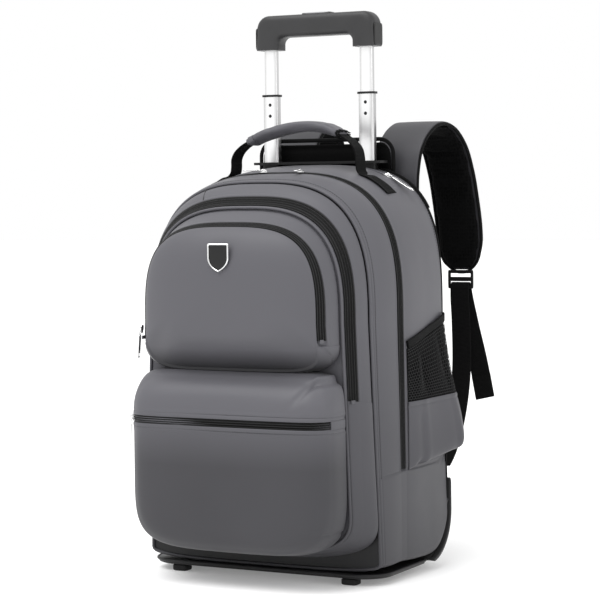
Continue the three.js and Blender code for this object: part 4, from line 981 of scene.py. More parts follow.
ring_way = np.concatenate([
    even_along(1.0, 300, 236.0, UNDER_FRONT), 1 + graded(0.0, 1.0, 0.013, [0.0], 0.003, 0.012)[1:],
    -1 - graded(0.0, 1.0, 0.013, [0.0], 0.003, 0.012)[1:-1],
    ZIP_FRONT_REACH + np.arange(-0.006, 0.012, 0.003), -ZIP_FRONT_REACH - np.arange(-0.006, 0.012, 0.003),
])
ring_way = np.unique(np.round(ring_way, 5))
wall_setbacks = graded(RIM, SHELL_DEPTH - 0.6, 3.0, [RIM, ZIP_FRONT - 5.4, ZIP_FRONT + 4.4])
panel_shares = 1 - np.concatenate(
    [[0.003, 0.008, 0.015, 0.025, 0.038, 0.055, 0.075, 0.10], np.linspace(0.13, 0.985, 34)]
)
setback_rows = np.concatenate([wall_setbacks, np.full(len(panel_shares), SHELL_DEPTH)])
share_rows = np.concatenate([np.ones(len(wall_setbacks)), panel_shares])
setback_grid, way_grid = np.meshgrid(setback_rows, ring_way, indexing="ij")
share_grid = np.broadcast_to(share_rows[:, None], way_grid.shape)
shell = front_shell_point(setback_grid, share_grid, way_grid)
shell_inside = (0.0, -206.0, 335.0)
shell_normals = grid_normals(shell, loop_columns=True, centre=shell_inside)
shell = shell + shell_normals * front_relief(shell, setback_grid, share_grid, way_grid)[..., None]
# The panel's cloth paints the crease's shade into its colour.
front_panel = make_object(
    "front_compartment", [capped(shell)], crease_shaded_cloth,
    inside=shell_inside, angle=60.0,
)
settle(front_panel, "bag", "grey_fabric", "front_shell")
outline_zip("zip_front_tape", ZIP_FRONT, ZIP_FRONT_REACH, ZIP_FRONT_WIDTH, UNDER_FRONT, "zip_front", 1000)

# %% [markdown]
# The lower pocket is a second bag sewn on the first: square shoulders, round lower corners, full at the
# bottom and falling back towards its top. Rings that shrink and move forwards describe it well. Its zip
# band is pressed in, and one pleat pulls at the upper right corner where the cloth was gathered.

# %% Front pocket
POCKET_DEPTH = 57.0
POCKET_CENTRE = (CREASE_HEIGHT + FRONT_FLOOR) / 2
POCKET_HALF = (CREASE_HEIGHT - FRONT_FLOOR) / 2
POCKET_ROWS = np.array([
    (0.0, 1.0, 1.0), (0.3, 1.004, 0.8), (0.56, 0.985, 0.7), (0.78, 0.93, 0.7), (0.94, 0.77, 0.85),
    (1.0, 0.3, 1.0), (1.01, 0.02, 1.0),
])
POCKET_ZIP_HEIGHT, POCKET_SEAM = 190.0, 9.0
TOP_POWER, LOW_POWER = 9.0, 4.8


def pocket_point(row, angle):
    """Ring row: x = a cos^(2/n), z = b sin^(2/n), shrunk by the row's share. forward moves it out from
    the bag, and near the upper edge only the share top of that is kept."""
    row, angle = np.broadcast_arrays(row, angle)
    forward, shrink, top = np.moveaxis(smooth_between(np.arange(len(POCKET_ROWS)), POCKET_ROWS, row), -1, 0)
    c, s = np.cos(angle), np.sin(angle)
    power = np.where(s > 0, 2 / TOP_POWER, 2 / LOW_POWER)
    z = POCKET_CENTRE + signed_power(s, power) * POCKET_HALF * shrink
    half = 0.85 - 0.02 * ease((z - FRONT_FLOOR) / (CREASE_HEIGHT - FRONT_FLOOR))
    x = signed_power(c, power) * half * HALF_WIDTH * shrink
    kept = 1 + (top - 1) * ease((z - CREASE_HEIGHT + 42) / 42)
    return np.stack([x, -RIM - forward * POCKET_DEPTH * kept, z], -1)


def pocket_relief(points, row):
    x, z = points[..., 0], points[..., 2]
    from_zip = np.abs(z - POCKET_ZIP_HEIGHT)
    band = -0.7 * ease((POCKET_SEAM - from_zip) / 1.4) + 0.35 * hump(from_zip, POCKET_SEAM + 2.0, 1.6)
    rim = -1.6 * hump(row, 0.0, 0.12)
    ridge_way = (x - 104.0) / 26.0
    ridge_height = 240.5 + 1.5 * ridge_way
    on_ridge = ease((ridge_way + 0.05) / 0.12) * ease((1.3 - ridge_way) / 0.3)
    pleat = (2.2 * hump(z, ridge_height, 1.7) - 2.8 * hump(z, ridge_height - 5.5, 3.4)) * on_ridge
    hollow_side = hump(x - 0.6 * (z - 238.0), 106.0, 6.0)
    hollow = -2.4 * hollow_side * ease((240.0 - z) / 6.0) * ease((z - 205.0) / 20.0)
    pucker = -1.8 * hump(z, 67.0, 1.5) * hump(x, 122.0, 7.0)
    crown = 1.8 * hump(z, 226.0, 12.0) * hump(x, -10.0, 70.0)
    sag = -1.4 * hump(z, 112.0, 34.0) * hump(x, 20.0, 62.0)
    return band + rim + pleat + hollow + pucker + crown + sag + waves(points, 52.0, 0.8)


def pocket_outline_angles(upper, lower):
    """Angles that lie at even steps on the pocket's outline, closer on its upper half."""
    fine = np.linspace(0, 2 * np.pi, 40001)
    outline = pocket_point(np.full(fine.shape, 1.0), fine)
    length = run_length(outline)
    half_way = np.interp(np.pi, fine, length)
    stops = np.concatenate([
        np.linspace(0, half_way, upper, endpoint=False), np.linspace(
            half_way, length[-1], lower, endpoint=False,
        ),
    ])
    return np.interp(stops, length, fine)


pocket_angles = pocket_outline_angles(330, 200)
pocket_rows = np.concatenate(
    [graded(0.0, 4.0, 0.11, [0.0], 0.04, 0.2), np.linspace(4.05, 5.0, 40), [5.2, 5.45, 5.7, 5.9]]
)
row_grid, angle_grid = np.meshgrid(pocket_rows, pocket_angles, indexing="ij")
pocket = pocket_point(row_grid, angle_grid)
pocket_inside = (0.0, -215.0, 140.0)
pocket_normals = grid_normals(pocket, loop_columns=True, centre=pocket_inside)
pocket = pocket + pocket_normals * pocket_relief(pocket, row_grid)[..., None]
# The pocket's cloth paints shade below its zip into its colour.
front_pocket = make_object(
    "front_pocket_cloth", [capped(pocket)], pocket_shaded_cloth,
    inside=pocket_inside, angle=60.0,
)
settle(front_pocket, "bag", "grey_fabric", "front_pocket")

# %% [markdown]
# The pocket's zip runs level round the front. Its path is the pocket's own section at that height, found
# by solving the ring formula for one z, so tape, folded cloth edges and stitches all lie on the cloth.

# %% Pocket zip, its folded edges and its end tab
def pocket_slice(z, right_row, left_row, count, lift=0.0):
    """Section at height z from the left to the right: sin(angle) = (|z - middle| / half height)^(n/2)."""
    share = abs(z - POCKET_CENTRE) / POCKET_HALF
    power = TOP_POWER if z > POCKET_CENTRE else LOW_POWER
    rows = np.linspace(0, 5.9, 30001)
    shrink = smooth_between(np.arange(len(POCKET_ROWS)), POCKET_ROWS, rows)[:, 1]
    last = rows[shrink > share].max()
    row = last - last * np.linspace(1, 0, 6000) ** 5
    shrink = smooth_between(np.arange(len(POCKET_ROWS)), POCKET_ROWS, row)[:, 1]
    sine = np.clip(share / shrink, 0, 1) ** (power / 2)
    angle = np.arcsin(sine) * (1 if z > POCKET_CENTRE else -1)
    points = pocket_point(row, angle)
    line = np.concatenate([points[row >= left_row] * [-1, 1, 1], points[row >= right_row][::-1]])
    length = run_length(line)
    at = np.linspace(0, length[-1], count)
    line = np.stack([np.interp(at, length, line[:, k]) for k in range(3)], -1)
    line[:, 2] = z
    ahead = np.gradient(line, axis=0)
    out = np.stack([ahead[:, 1], -ahead[:, 0], 0 * at], -1)
    return line + lift * out / np.linalg.norm(out, axis=1, keepdims=True)


pocket_zip_path = pocket_slice(POCKET_ZIP_HEIGHT, 2.05, 1.0, 1000, 0.4)
zip_length = np.linspace(
    0, np.linalg.norm(np.diff(pocket_zip_path, axis=0), axis=1).sum(), len(pocket_zip_path),
)
zip_offsets, zip_heights = zip_section(zip_length, ZIP_FRONT_WIDTH)
pocket_zip = make_object(
    "zip_pocket_tape",
    [swept(pocket_zip_path, np.stack([zip_offsets, zip_heights], -1), (0, 0, 1))],
    tape_look, angle=55.0,
)
settle(pocket_zip, "bag", "zip_tape", "zip_pocket")

fold_section = superellipse(4.6, 1.7, 2.6, 14)
fold_parts = []
for shift in (-6.7, 6.7):
    fold_path = pocket_slice(POCKET_ZIP_HEIGHT + shift, 0.35, 0.5, 260, 0.1)
    fold_parts.append(swept(fold_path, fold_section, (0, 0, 1)))
tab_path = pocket_slice(POCKET_ZIP_HEIGHT, 0.3, 5.0, 900, 0.5)
tab_path = tab_path[tab_path[:, 1] > pocket_zip_path[-1, 1] - 1.0]
tab_path = tab_path[tab_path[:, 0] > 0]
fold_parts.append(swept(tab_path, superellipse(9.6, 1.6, 5.0, 18), (0, 0, 1)))
pocket_folds = make_object("pocket_zip_folds", fold_parts, pocket_shaded_cloth)
settle(pocket_folds, "bag", "grey_fabric")

# %% [markdown]
# The bag stands on a flat tray with a welt round its edge and four small contact points: two feet in
# front, two wheels behind. The tray is drawn as rings that shrink inwards, so its edge can be rounded.

# %% Base tray, welt and feet
TRAY_HALF, TRAY_FRONT, TRAY_REAR, TRAY_LOW, TRAY_TOP = 153.0, 174.0, 47.5, 8.3, 13.7


def tray_outline(inset, z, count=26):
    """A rectangle whose front corners are wide quarter ellipses and whose rear corners are small."""
    turn = np.linspace(0, np.pi / 2, count)
    wide = 34.0 - inset
    x, front, rear = TRAY_HALF - inset, -TRAY_FRONT + inset, -TRAY_REAR - inset
    corner = np.stack([np.sin(turn), np.cos(turn)], -1)
    right = np.concatenate([
        corner * [wide, -wide] + [
            x - wide, front + wide,
        ], np.array([(0.9999, 0.0)]) * x + [0, (front + rear) / 2],
        corner[::-1][:, [0, 1]] * [4.0, 4.0] + [x - 4.0, rear - 4.0],
    ])
    left = right[::-1] * [-1, 1]
    ring = even_round(np.concatenate([right, left]), 240)
    return np.column_stack([ring, np.full(len(ring), z)])


tray_profile = [
    (90.0, TRAY_LOW + 1.5), (46.0, TRAY_LOW + 0.2), (12.0, TRAY_LOW), (2.0, TRAY_LOW), (0.6, TRAY_LOW + 0.6),
    (0.0, TRAY_LOW + 1.8), (0.0, TRAY_TOP - 1.6), (0.7, TRAY_TOP - 0.5), (2.2, TRAY_TOP), (46.0, TRAY_TOP),
    (90.0, TRAY_TOP - 1.5),
]


def tray_ring(inset, z):
    """Up to 46 mm the outline is drawn in evenly; further in it closes towards the tray's middle."""
    if inset <= 30.0:
        return tray_outline(inset, z)
    middle = np.array([0.0, -(TRAY_FRONT + TRAY_REAR) / 2, z])
    return middle + (tray_outline(12.0, z) - middle) * (1 - inset / 95.0)


tray_rings = np.stack([tray_ring(*row) for row in tray_profile])
tray = make_object("base_tray_plate", [capped(tray_rings)], black_plastic, inside=(0.0, -110.0, 11.0))
settle(tray, "bag", "dark_plastic", "base_tray")

welt_line = tray_outline(-0.6, 12.6)
welt = make_object(
    "base_welt", [swept_ring(welt_line, superellipse(3.0, 3.0, 2.0, 12), (0, 0, 1))],
    base_cloth,
)
settle(welt, "bag", "dark_fabric")

FOOT_SPREAD, FOOT_SETBACK = 112.0, 163.0
for side, word in ((1, "right"), (-1, "left")):
    foot = make_object(
        "foot_rubber_" + word,
        [pebble((side * FOOT_SPREAD, -FOOT_SETBACK, 4.0), (20.0, 16.0, 8.0), 5.0, 16, 40)], rubber_look,
    )
    settle(foot, "bag", "black_rubber", "foot_" + word)

# %% [markdown]
# Behind the cloth stands a stiff board covered in black cloth, with a bound edge. The board is the flat
# piece that the padding is sewn on, so it stays flat, and only its binding is round.

# %% Back board and its binding
BOARD_BACK = 2.3
board_along = even_along(3.0, 481, 0.0, UNDER_MAIN)[:-1]
board_rim = bag_point(0.0, board_along, UNDER_MAIN, -0.4)
board_middle = np.array([0.0, 0.0, 250.0])
board_rings = []
for share, y in ((0.02, BOARD_GAP), (0.5, BOARD_GAP), (0.9, BOARD_GAP), (0.997, BOARD_GAP), (1.0, 0.9),
                 (1.0, 1.8), (0.997, BOARD_BACK), (0.97, BOARD_BACK), (0.8, BOARD_BACK), (0.4, BOARD_BACK),
                 (0.02, BOARD_BACK)):
    ring = board_middle + (board_rim - board_middle) * share
    ring[:, 1] = y
    board_rings.append(ring)
board_part = capped(np.stack(board_rings))
board = make_object("back_board_cloth", [board_part], lining_look, inside=(0.0, 1.3, 250.0))


def cut_out(piece, *blocks):
    """Takes boxes (low corner, high corner, in bag millimetres) out of a closed piece."""
    for low, high in blocks:
        low, high = to_row(low), to_row(high)
        signs = np.array([(x, y, z) for z in (0, 1) for y in (0, 1) for x in (0, 1)])
        cube = bpy.data.meshes.new("cutter")
        faces = [(0, 2, 3, 1), (4, 5, 7, 6), (0, 1, 5, 4), (2, 6, 7, 3), (0, 4, 6, 2), (1, 3, 7, 5)]
        cube.from_pydata((low + signs * (high - low)).tolist(), [], faces)
        cutter = bpy.data.objects.new("cutter", cube)
        bpy.context.scene.collection.objects.link(cutter)
        trim = piece.modifiers.new("trim", "BOOLEAN")
        trim.operation, trim.object, trim.solver = "DIFFERENCE", cutter, "EXACT"
        bpy.context.view_layer.update()
        whole = piece.evaluated_get(bpy.context.evaluated_depsgraph_get())
        cut_mesh = bpy.data.meshes.new_from_object(whole)
        piece.modifiers.clear()
        piece.data = cut_mesh
        bpy.data.objects.remove(cutter)
    piece.data.shade_smooth()
    piece.data.set_sharp_from_angle(angle=np.radians(40.0))
    return piece


wells = [
    ((side * WHEEL_SPREAD - 18.1, -5.0, -10.0), (side * WHEEL_SPREAD + 18.1, 10.0, 70.3)) for side in (1, -1)
]
cut_out(board, *wells)
settle(board, "bag", "black_fabric", "back_board")

binding_path = bag_point(1.2, even_along(1.95, 500, 0.0, UNDER_MAIN), UNDER_MAIN, -1.2)
board_binding = make_object(
    "back_binding", [swept(binding_path, superellipse(4.6, 5.2, 2.4, 14), (0, 1, 0))],
    binding_look,
)
settle(board_binding, "bag", "black_fabric")

# %% [markdown]
# The wheels sit in moulded housings behind skid guards. Each guard is one bent plate, a rounded section
# carried down the back edge and round the lower corner, with two long grooves that stiffen it.

# %% Wheel housings and skid guards
def dress(node, look):
    """Puts a look on every material slot of a node that keeps its own shape."""
    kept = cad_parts[node]
    if not kept.material_slots:
        kept.data.materials.append(look)
    for slot in kept.material_slots:
        slot.material = look
    print(node, "keeps its shape with", look.name)


for side in ("right", "left"):
    dress("wheel_housing_" + side, black_plastic)

GUARD_CENTRE = np.array([-REAR_RADIUS, BASE_HEIGHT + REAR_RADIUS])
GUARD_OUTER, GUARD_THICK, GUARD_TOP, GUARD_END = REAR_RADIUS + 6.2, 3.6, 104.0, -1.42
GUARD_IN, GUARD_OUT = WHEEL_SPREAD + 18.1, HALF_WIDTH + 8.0
bend = np.linspace(GUARD_END, 0, 60)
guard_radius = GUARD_OUTER - GUARD_THICK / 2
guard_yz = np.stack([np.cos(bend), np.sin(bend)], -1) * guard_radius + GUARD_CENTRE
rise = np.linspace(guard_yz[-1, 1], GUARD_TOP, 12)[1:]
guard_yz = np.concatenate([guard_yz, np.stack([np.full(rise.shape, guard_yz[-1, 0]), rise], -1)])
guard_path = np.column_stack([np.full(len(guard_yz), (GUARD_IN + GUARD_OUT) / 2), guard_yz])
guard_section = even_round(rounded_rectangle(GUARD_OUT - GUARD_IN, GUARD_THICK, 1.2), 90)
groove = hump(np.abs(guard_section[:, 0]), 5.2, 1.0) * (guard_section[:, 1] > 0.9)
guard_section[:, 1] -= 0.8 * groove
turn_over = ease((np.arange(len(guard_path)) / (len(guard_path) - 1) - 0.0) / 0.02)
turn_over = np.minimum(turn_over, turn_over[::-1])
guard_sections = guard_section[None] * np.stack(
    [0.93 + 0.07 * turn_over, 0.45 + 0.55 * turn_over], -1,
)[:, None]
guard_part = swept(guard_path, guard_sections, (-1, 0, 0))
for side, part in (("right", guard_part), ("left", mirrored(guard_part))):
    guard = make_object("skid_guard_plate_" + side, [part], guard_look)
    settle(guard, "bag", "grey_plastic", "skid_guard_" + side)

# %% [markdown]
# A wheel is a shape of turning: its profile, radius against width, is carried once round the axle. The
# tyre has round shoulders and a groove; the hub is dished and carries six ribs.

# %% Wheels
WHEEL_RADIUS, WHEEL_WIDTH, HUB_RADIUS, AXLE_BORE = 30.0, 22.0, 19.0, 4.35


def turned_part(profile, x, side, count=96):
    """Rows of (radius, offset) turned round the axle: y = r cos(t), z = r sin(t)."""
    profile = np.asarray(profile, float)
    t = np.linspace(0, 2 * np.pi, count, endpoint=False)
    r, h = profile[:, :1], profile[:, 1:]
    points = np.stack([
        side * (x + h + 0 * t), -12.0 + r * np.cos(t), WHEEL_RADIUS + r * np.sin(t),
    ], -1)
    return grid_part(points, loop_rows=True, loop_columns=True)


half = WHEEL_WIDTH / 2
tyre_profile = [
    (
        HUB_RADIUS + 0.2, -half + 2.0,
    ), (24.0, -half + 0.6), (26.5, -half), (28.4, -half + 0.8), (29.5, -half + 2.2),
    (30.0, -half + 4.4), (30.0, -2.6), (29.6, -2.0), (28.6, -1.6), (28.6, 1.6), (29.6, 2.0), (30.0, 2.6),
    (30.0, half - 4.4), (29.5, half - 2.2), (28.4, half - 0.8), (26.5, half), (24.0, half - 0.6),
    (HUB_RADIUS + 0.2, half - 2.0),
]
hub_profile = [
    (AXLE_BORE, -half + 0.4), (AXLE_BORE + 0.5, -half), (8.0, -half), (8.8, -half + 0.8), (9.4, -half + 4.6),
    (15.6, -half + 4.8), (16.4, -half + 3.2), (18.4, -half + 3.0), (19.0, -half + 3.6), (19.0, half - 3.6),
    (18.4, half - 3.0), (16.4, half - 3.2), (15.6, half - 4.8), (9.4, half - 4.6), (8.8, half - 0.8),
    (8.0, half), (AXLE_BORE + 0.5, half), (AXLE_BORE, half - 0.4),
]
for side, word in ((1, "right"), (-1, "left")):
    tyre = make_object("tyre_" + word, [turned_part(tyre_profile, WHEEL_SPREAD, side)], rubber_look)
    settle(tyre, "wheel_" + word, "black_rubber", "wheel_tyre_" + word)
    ribs = [turned_part(hub_profile, WHEEL_SPREAD, side)]
    for turn in np.arange(6) * np.pi / 3:
        axes = [(0, np.cos(turn), np.sin(turn)), (0, -np.sin(turn), np.cos(turn)), (1, 0, 0)]
        middle = (side * WHEEL_SPREAD, -12.0 + 12.4 * np.cos(turn), WHEEL_RADIUS + 12.4 * np.sin(turn))
        ribs.append(pebble(middle, (8.4, 2.6, 16.4), 6.0, 8, 16, axes))
    hub = make_object("hub_" + word, ribs, hub_look)
    settle(hub, "wheel_" + word, "grey_plastic", "wheel_hub_" + word)

# %% [markdown]
# The trolley handle has flat oval tubes that slide in one another. A tube is two rounded rectangles,
# outside and inside, joined over small chamfers at both ends, so its bore is real in the render too.

# %% Trolley tubes, collars and rivets
TUBE_SPREAD, TUBE_SETBACK, TUBE_WALL = 65.0, 12.0, 1.0
MIDDLE_TUBE, INNER_TUBE = (20.0, 11.0), (17.0, 8.0)
MIDDLE_TOP, MIDDLE_LENGTH, COLLAR_HEIGHT, INNER_TOP, INNER_LENGTH = 566.0, 400.0, 2.6, 638.0, 398.0


def tube_part(width, depth, radius, inner, x, z0, z1):
    """Rows run up the outside and down the inside; a chamfer of 0.25 softens each rim."""
    outside = rounded_rectangle(width, depth, radius, 9)
    inside = rounded_rectangle(inner[0], inner[1], max(radius - (width - inner[0]) / 2, 0.6), 9)
    eased = outside * (1 - 0.5 / np.array([width, depth]))
    rows = [(outside, z0 + 0.25), (outside, z1 - 0.25), (eased, z1), (inside, z1), (inside, z0), (eased, z0)]
    points = np.stack([
        np.column_stack([line + [x, -TUBE_SETBACK], np.full(len(line), z)]) for line, z in rows
    ])
    return grid_part(points, loop_rows=True, loop_columns=True)


dress("trolley_housing", black_plastic)
for side, word in ((1, "right"), (-1, "left")):
    x = side * TUBE_SPREAD
    bore = (MIDDLE_TUBE[0] - 2 * TUBE_WALL, MIDDLE_TUBE[1] - 2 * TUBE_WALL)
    middle_tube = make_object(
        "middle_tube_" + word, [
            tube_part(*MIDDLE_TUBE, 3.0, bore, x, MIDDLE_TOP - MIDDLE_LENGTH, MIDDLE_TOP)
        ], tube_look,
    )
    settle(middle_tube, "middle_stage", "tube_aluminium", "trolley_middle_" + word)
    collar = make_object(
        "collar_" + word,
        [tube_part(23.2, 14.2, 4.0, (20.6, 11.6), x, MIDDLE_TOP - COLLAR_HEIGHT, MIDDLE_TOP)], black_plastic,
    )
    settle(collar, "middle_stage", "dark_plastic", "trolley_collar_" + word)
    inner_bore = (INNER_TUBE[0] - 2 * TUBE_WALL, INNER_TUBE[1] - 2 * TUBE_WALL)
    inner_tube = make_object(
        "inner_tube_" + word, [
            tube_part(*INNER_TUBE, 2.4, inner_bore, x, INNER_TOP - INNER_LENGTH, INNER_TOP)
        ], tube_look,
    )
    settle(inner_tube, "inner_stage", "tube_aluminium", "trolley_inner_" + word)
    front_face = -TUBE_SETBACK - MIDDLE_TUBE[1] / 2
    rivets = [
        pebble((x, front_face, z), (4.2, 0.8, 4.2), 2.0, 9, 20, [(1, 0, 0), (0, 1, 0), (0, 0, 1)])
        for z in (553.5, 540.0)
    ]
    rivets.append(pebble((x - side * 10.0, -TUBE_SETBACK, 516.0), (0.8, 4.0, 4.0), 2.0, 9, 20))
    rivet = make_object("tube_rivets_" + word, rivets, black_plastic)
    settle(rivet, "middle_stage", "dark_plastic")

# %% [markdown]
# The pull grip is an upside-down U moulded in one piece. Its section is a soft rectangle, and it is
# stretched at each place between the U's outer and inner outlines, which share one count of points on
# each leg, corner and bar. A slot in the top takes the push button.

# %% Pull grip and button
GRIP_HALF, GRIP_TOP, GRIP_LOW, GRIP_DEPTH, LEG_WIDTH, BAR_HEIGHT = 81.0, 662.0, 620.0, 28.0, 31.0, 27.0


def grip_outline(half, top, radius, flare):
    """Up the left leg, round a quarter circle, across the bar and down the right leg."""
    turn = np.linspace(0, np.pi / 2, 16)
    corner = np.stack([half - radius + radius * np.cos(turn), top - radius + radius * np.sin(turn)], -1)
    low = np.linspace(GRIP_LOW, top - radius, 12)[:-1]
    leg = np.stack([half + flare * (1 - ease((low - GRIP_LOW) / (top - radius - GRIP_LOW))), low], -1)
    bar = np.stack([np.linspace(half - radius, -half + radius, 42)[1:-1], np.full(40, top)], -1)
    right = np.concatenate([leg, corner])
    return np.concatenate([right, bar, right[::-1] * [-1, 1]])[::-1]


outer_line = grip_outline(GRIP_HALF - 1.0, GRIP_TOP, 16.0, 1.0)
inner_line = grip_outline(GRIP_HALF - LEG_WIDTH, GRIP_TOP - BAR_HEIGHT, 9.0, 0.0)
middle_line, half_line = (outer_line + inner_line) / 2, (outer_line - inner_line) / 2
grip_ring = superellipse(2.0, 2.0, 4.2, 56)
grip_points = np.empty((len(middle_line), len(grip_ring), 3))
grip_xz = middle_line[:, None] + half_line[:, None] * grip_ring[None, :, :1]
grip_points[..., 0], grip_points[..., 2] = grip_xz[..., 0], grip_xz[..., 1]
grip_points[..., 1] = -TUBE_SETBACK + grip_ring[None, :, 1] * GRIP_DEPTH / 2
grip = make_object("pull_grip_shell", [capped(grip_points)], grip_look, angle=50.0)
BUTTON = (40.0, 16.0)
slot_low = (-BUTTON[0] / 2 - 0.4, -TUBE_SETBACK - BUTTON[1] / 2 - 0.4, GRIP_TOP - 10.0)
slot_high = (BUTTON[0] / 2 + 0.4, -TUBE_SETBACK + BUTTON[1] / 2 + 0.4, GRIP_TOP + 5.0)
cut_out(grip, (slot_low, slot_high))
settle(grip, "inner_stage", "grey_plastic", "pull_grip")

button_rows = [(0.0, 0.0), (0.0, 6.4), (0.25, 7.2), (0.8, 7.8), (1.8, 8.0), (6.0, 8.0)]
button_line = rounded_rectangle(*BUTTON, 4.0, 9)
button_rings = np.stack([
    np.column_stack([
        button_line * (1 - 2 * inset / np.array(BUTTON)) + [0.0, -TUBE_SETBACK], np.full(
            len(button_line), 655.5 + up,
        ),
    ]) for inset, up in button_rows
])
button = make_object("push_button", [capped(button_rings)], grip_look)
settle(button, "button", "dark_plastic", "grip_button")
button_strip = make_object(
    "push_button_edge", [
        pebble((0.0, -TUBE_SETBACK - 6.9, 662.7), (34.0, 2.0, 1.6), 5.0, 10, 40)
    ], button_look,
)
settle(button_strip, "button", "grey_plastic")
cap_parts = [pebble((side * 80.2, -TUBE_SETBACK, 634.0), (1.6, 22.0, 27.0), 7.0, 14, 48) for side in (1, -1)]
end_caps = make_object("grip_end_caps", cap_parts, black_plastic)
settle(end_caps, "inner_stage", "dark_plastic")

# %% [markdown]
# Everything padded on the bag is foam in a cloth cover. The honest way to get that shape is to let a
# cover swell: a slightly small form is remeshed evenly, Cloth blows it up for twenty frames with gravity
# off, and the movement is capped so that the pad stays inside its place. Seams are pressed in after it.

# %% Swelling a pad
def read_points(mesh):
    flat = np.empty(len(mesh.vertices) * 3)
    mesh.vertices.foreach_get("co", flat)
    return flat.reshape(-1, 3)


def write_points(mesh, points):
    mesh.vertices.foreach_set("co", np.asarray(points, float).ravel())
    mesh.update()


def baked(piece):
    """The piece's mesh with its modifiers applied."""
    bpy.context.view_layer.update()
    graph = bpy.context.evaluated_depsgraph_get()
    return bpy.data.meshes.new_from_object(piece.evaluated_get(graph))


def swell(piece, look, voxel, pressure, cap, free=None, shape=None):
    """Remesh, 20 frames of Cloth under pressure, movement capped at cap millimetres and multiplied by
    free(points in bag mm) from 0, held, to 1. shape(points) presses seams in at the end."""
    even = piece.modifiers.new("even", "REMESH")
    even.mode, even.voxel_size = "VOXEL", voxel * MM
    piece.data = baked(piece)
    piece.modifiers.clear()
    start = read_points(piece.data)
    cover = piece.modifiers.new("cover", "CLOTH")
    settings = cover.settings
    settings.quality, settings.mass = 6, 0.25
    settings.tension_stiffness = settings.compression_stiffness = 18.0
    settings.bending_stiffness = 0.6
    settings.use_pressure, settings.uniform_pressure_force = True, pressure
    settings.effector_weights.gravity = 0.0
    cover.collision_settings.use_collision = False
    cover.point_cache.frame_start, cover.point_cache.frame_end = 1, 20
    for step in range(1, 21):
        bpy.context.scene.frame_set(step)
    graph = bpy.context.evaluated_depsgraph_get()
    moved = read_points(piece.evaluated_get(graph).data) - start
    piece.modifiers.clear()
    bpy.context.scene.frame_set(1)
    size = np.linalg.norm(moved, axis=1, keepdims=True)
    moved = moved * np.minimum(1.0, cap * MM / np.maximum(size, 1e-9))
    if free is not None:
        moved = moved * free(start / MM - [0.0, rear_edge, 0.0])[:, None]
    write_points(piece.data, start + moved)
    if shape is not None:
        points = read_points(piece.data) / MM - [0.0, rear_edge, 0.0]
        write_points(piece.data, to_row(shape(points)))
    piece.data.materials.clear()
    piece.data.materials.append(look)
    piece.data.shade_smooth()
    rounder = piece.modifiers.new("rounder", "SUBSURF")
    rounder.levels = rounder.render_levels = 1
    return piece


def mirror_piece(piece, name):
    """A copy on the left side: x changes sign, so every face is turned round again."""
    mesh = piece.data.copy()
    write_points(mesh, read_points(mesh) * [-1, 1, 1])
    mesh.flip_normals()
    twin = bpy.data.objects.new(name, mesh)
    bpy.context.scene.collection.objects.link(twin)
    rounder = twin.modifiers.new("rounder", "SUBSURF")
    rounder.levels = rounder.render_levels = 1
    return twin


print("cloth swelling is", "on")

# %% [markdown]
# The back has three foam pads under air mesh: two tall ones beside the spine and a broad one for the
# hips. Each is a rounded plan drawn in step by step while it rises, then swollen, with a bound edge.

# %% Back padding
PAD_BASE, PAD_RISE, BACKING = 2.6, 14.0, 2.0
PAD_PLANS = [(10.0, 92.0, 190.0, 425.0), (-92.0, -10.0, 190.0, 425.0), (-92.0, 92.0, 112.0, 184.0)]
PAD_PROFILE = [
    (34.0, 0.0), (12.0, 0.0), (2.0, 0.0), (0.8, 0.15), (0.0, 0.35), (0.4, 0.55), (2.0, 0.76), (5.0, 0.9),
    (10.0, 0.97), (20.0, 1.0), (34.0, 1.0),
]


def pad_part(plan, base, rise, inset, radius=21.0):
    """Rings of a rounded rectangle in XZ that step inwards by the profile while y rises."""
    x0, x1, z0, z1 = plan
    rings = []
    for step, lift in PAD_PROFILE:
        step = step + inset
        line = rounded_rectangle(x1 - x0 - 2 * step, z1 - z0 - 2 * step, max(radius - step, 2.0), 10)
        y = np.full(len(line), base + rise * lift)
        rings.append(np.column_stack([line[:, 0] + (x0 + x1) / 2, y, line[:, 1] + (z0 + z1) / 2]))
    return capped(np.stack(rings))


def back_free(points):
    return ease((points[:, 1] - PAD_BASE - 1.0) / 5.0)


def back_seams(points):
    """One sewn dart across each tall pad and a shallow hollow along its middle."""
    x, y, z = points.T
    tall = ease((z - 187.0) / 3.0)
    dart = 4.0 * hump(z, 308.0 + 0.10 * (np.abs(x) - 51.0), 3.2) * tall
    spine = 1.5 * hump(np.abs(x), 51.0, 9.0) * tall
    hips = (2.6 * hump(np.abs(x), 46.0, 2.8)) * (1 - tall)
    pressed = (dart + spine + hips) * ease((y - PAD_BASE - 5.0) / 4.0)
    return points - np.stack([0 * x, pressed, 0 * z], -1)


backing_line = rounded_rectangle(182.0, 304.0, 12.0, 8)
backing_rings = np.stack([
    np.column_stack(
        [share * backing_line[:, 0], np.full(len(backing_line), y), share * backing_line[:, 1] + 268.0]
    )
    for share, y in ((0.3, PAD_BASE), (1, PAD_BASE), (1, PAD_BASE + BACKING), (0.3, PAD_BASE + BACKING))
])
backing = make_object("back_pad_cloth", [capped(backing_rings)], lining_look)
settle(backing, "bag", "black_fabric", "back_padding")
for name, plan in zip(("back_pad_right", "back_pad_left", "back_pad_hips"), PAD_PLANS):
    pad = make_object(name, [pad_part(plan, PAD_BASE + 0.4, PAD_RISE - 1.9, 1.6)], mesh_look)
    swell(pad, mesh_look, 4.5, 4.0, 5.0, back_free, back_seams)
    settle(pad, "bag", "black_fabric", "back_padding")

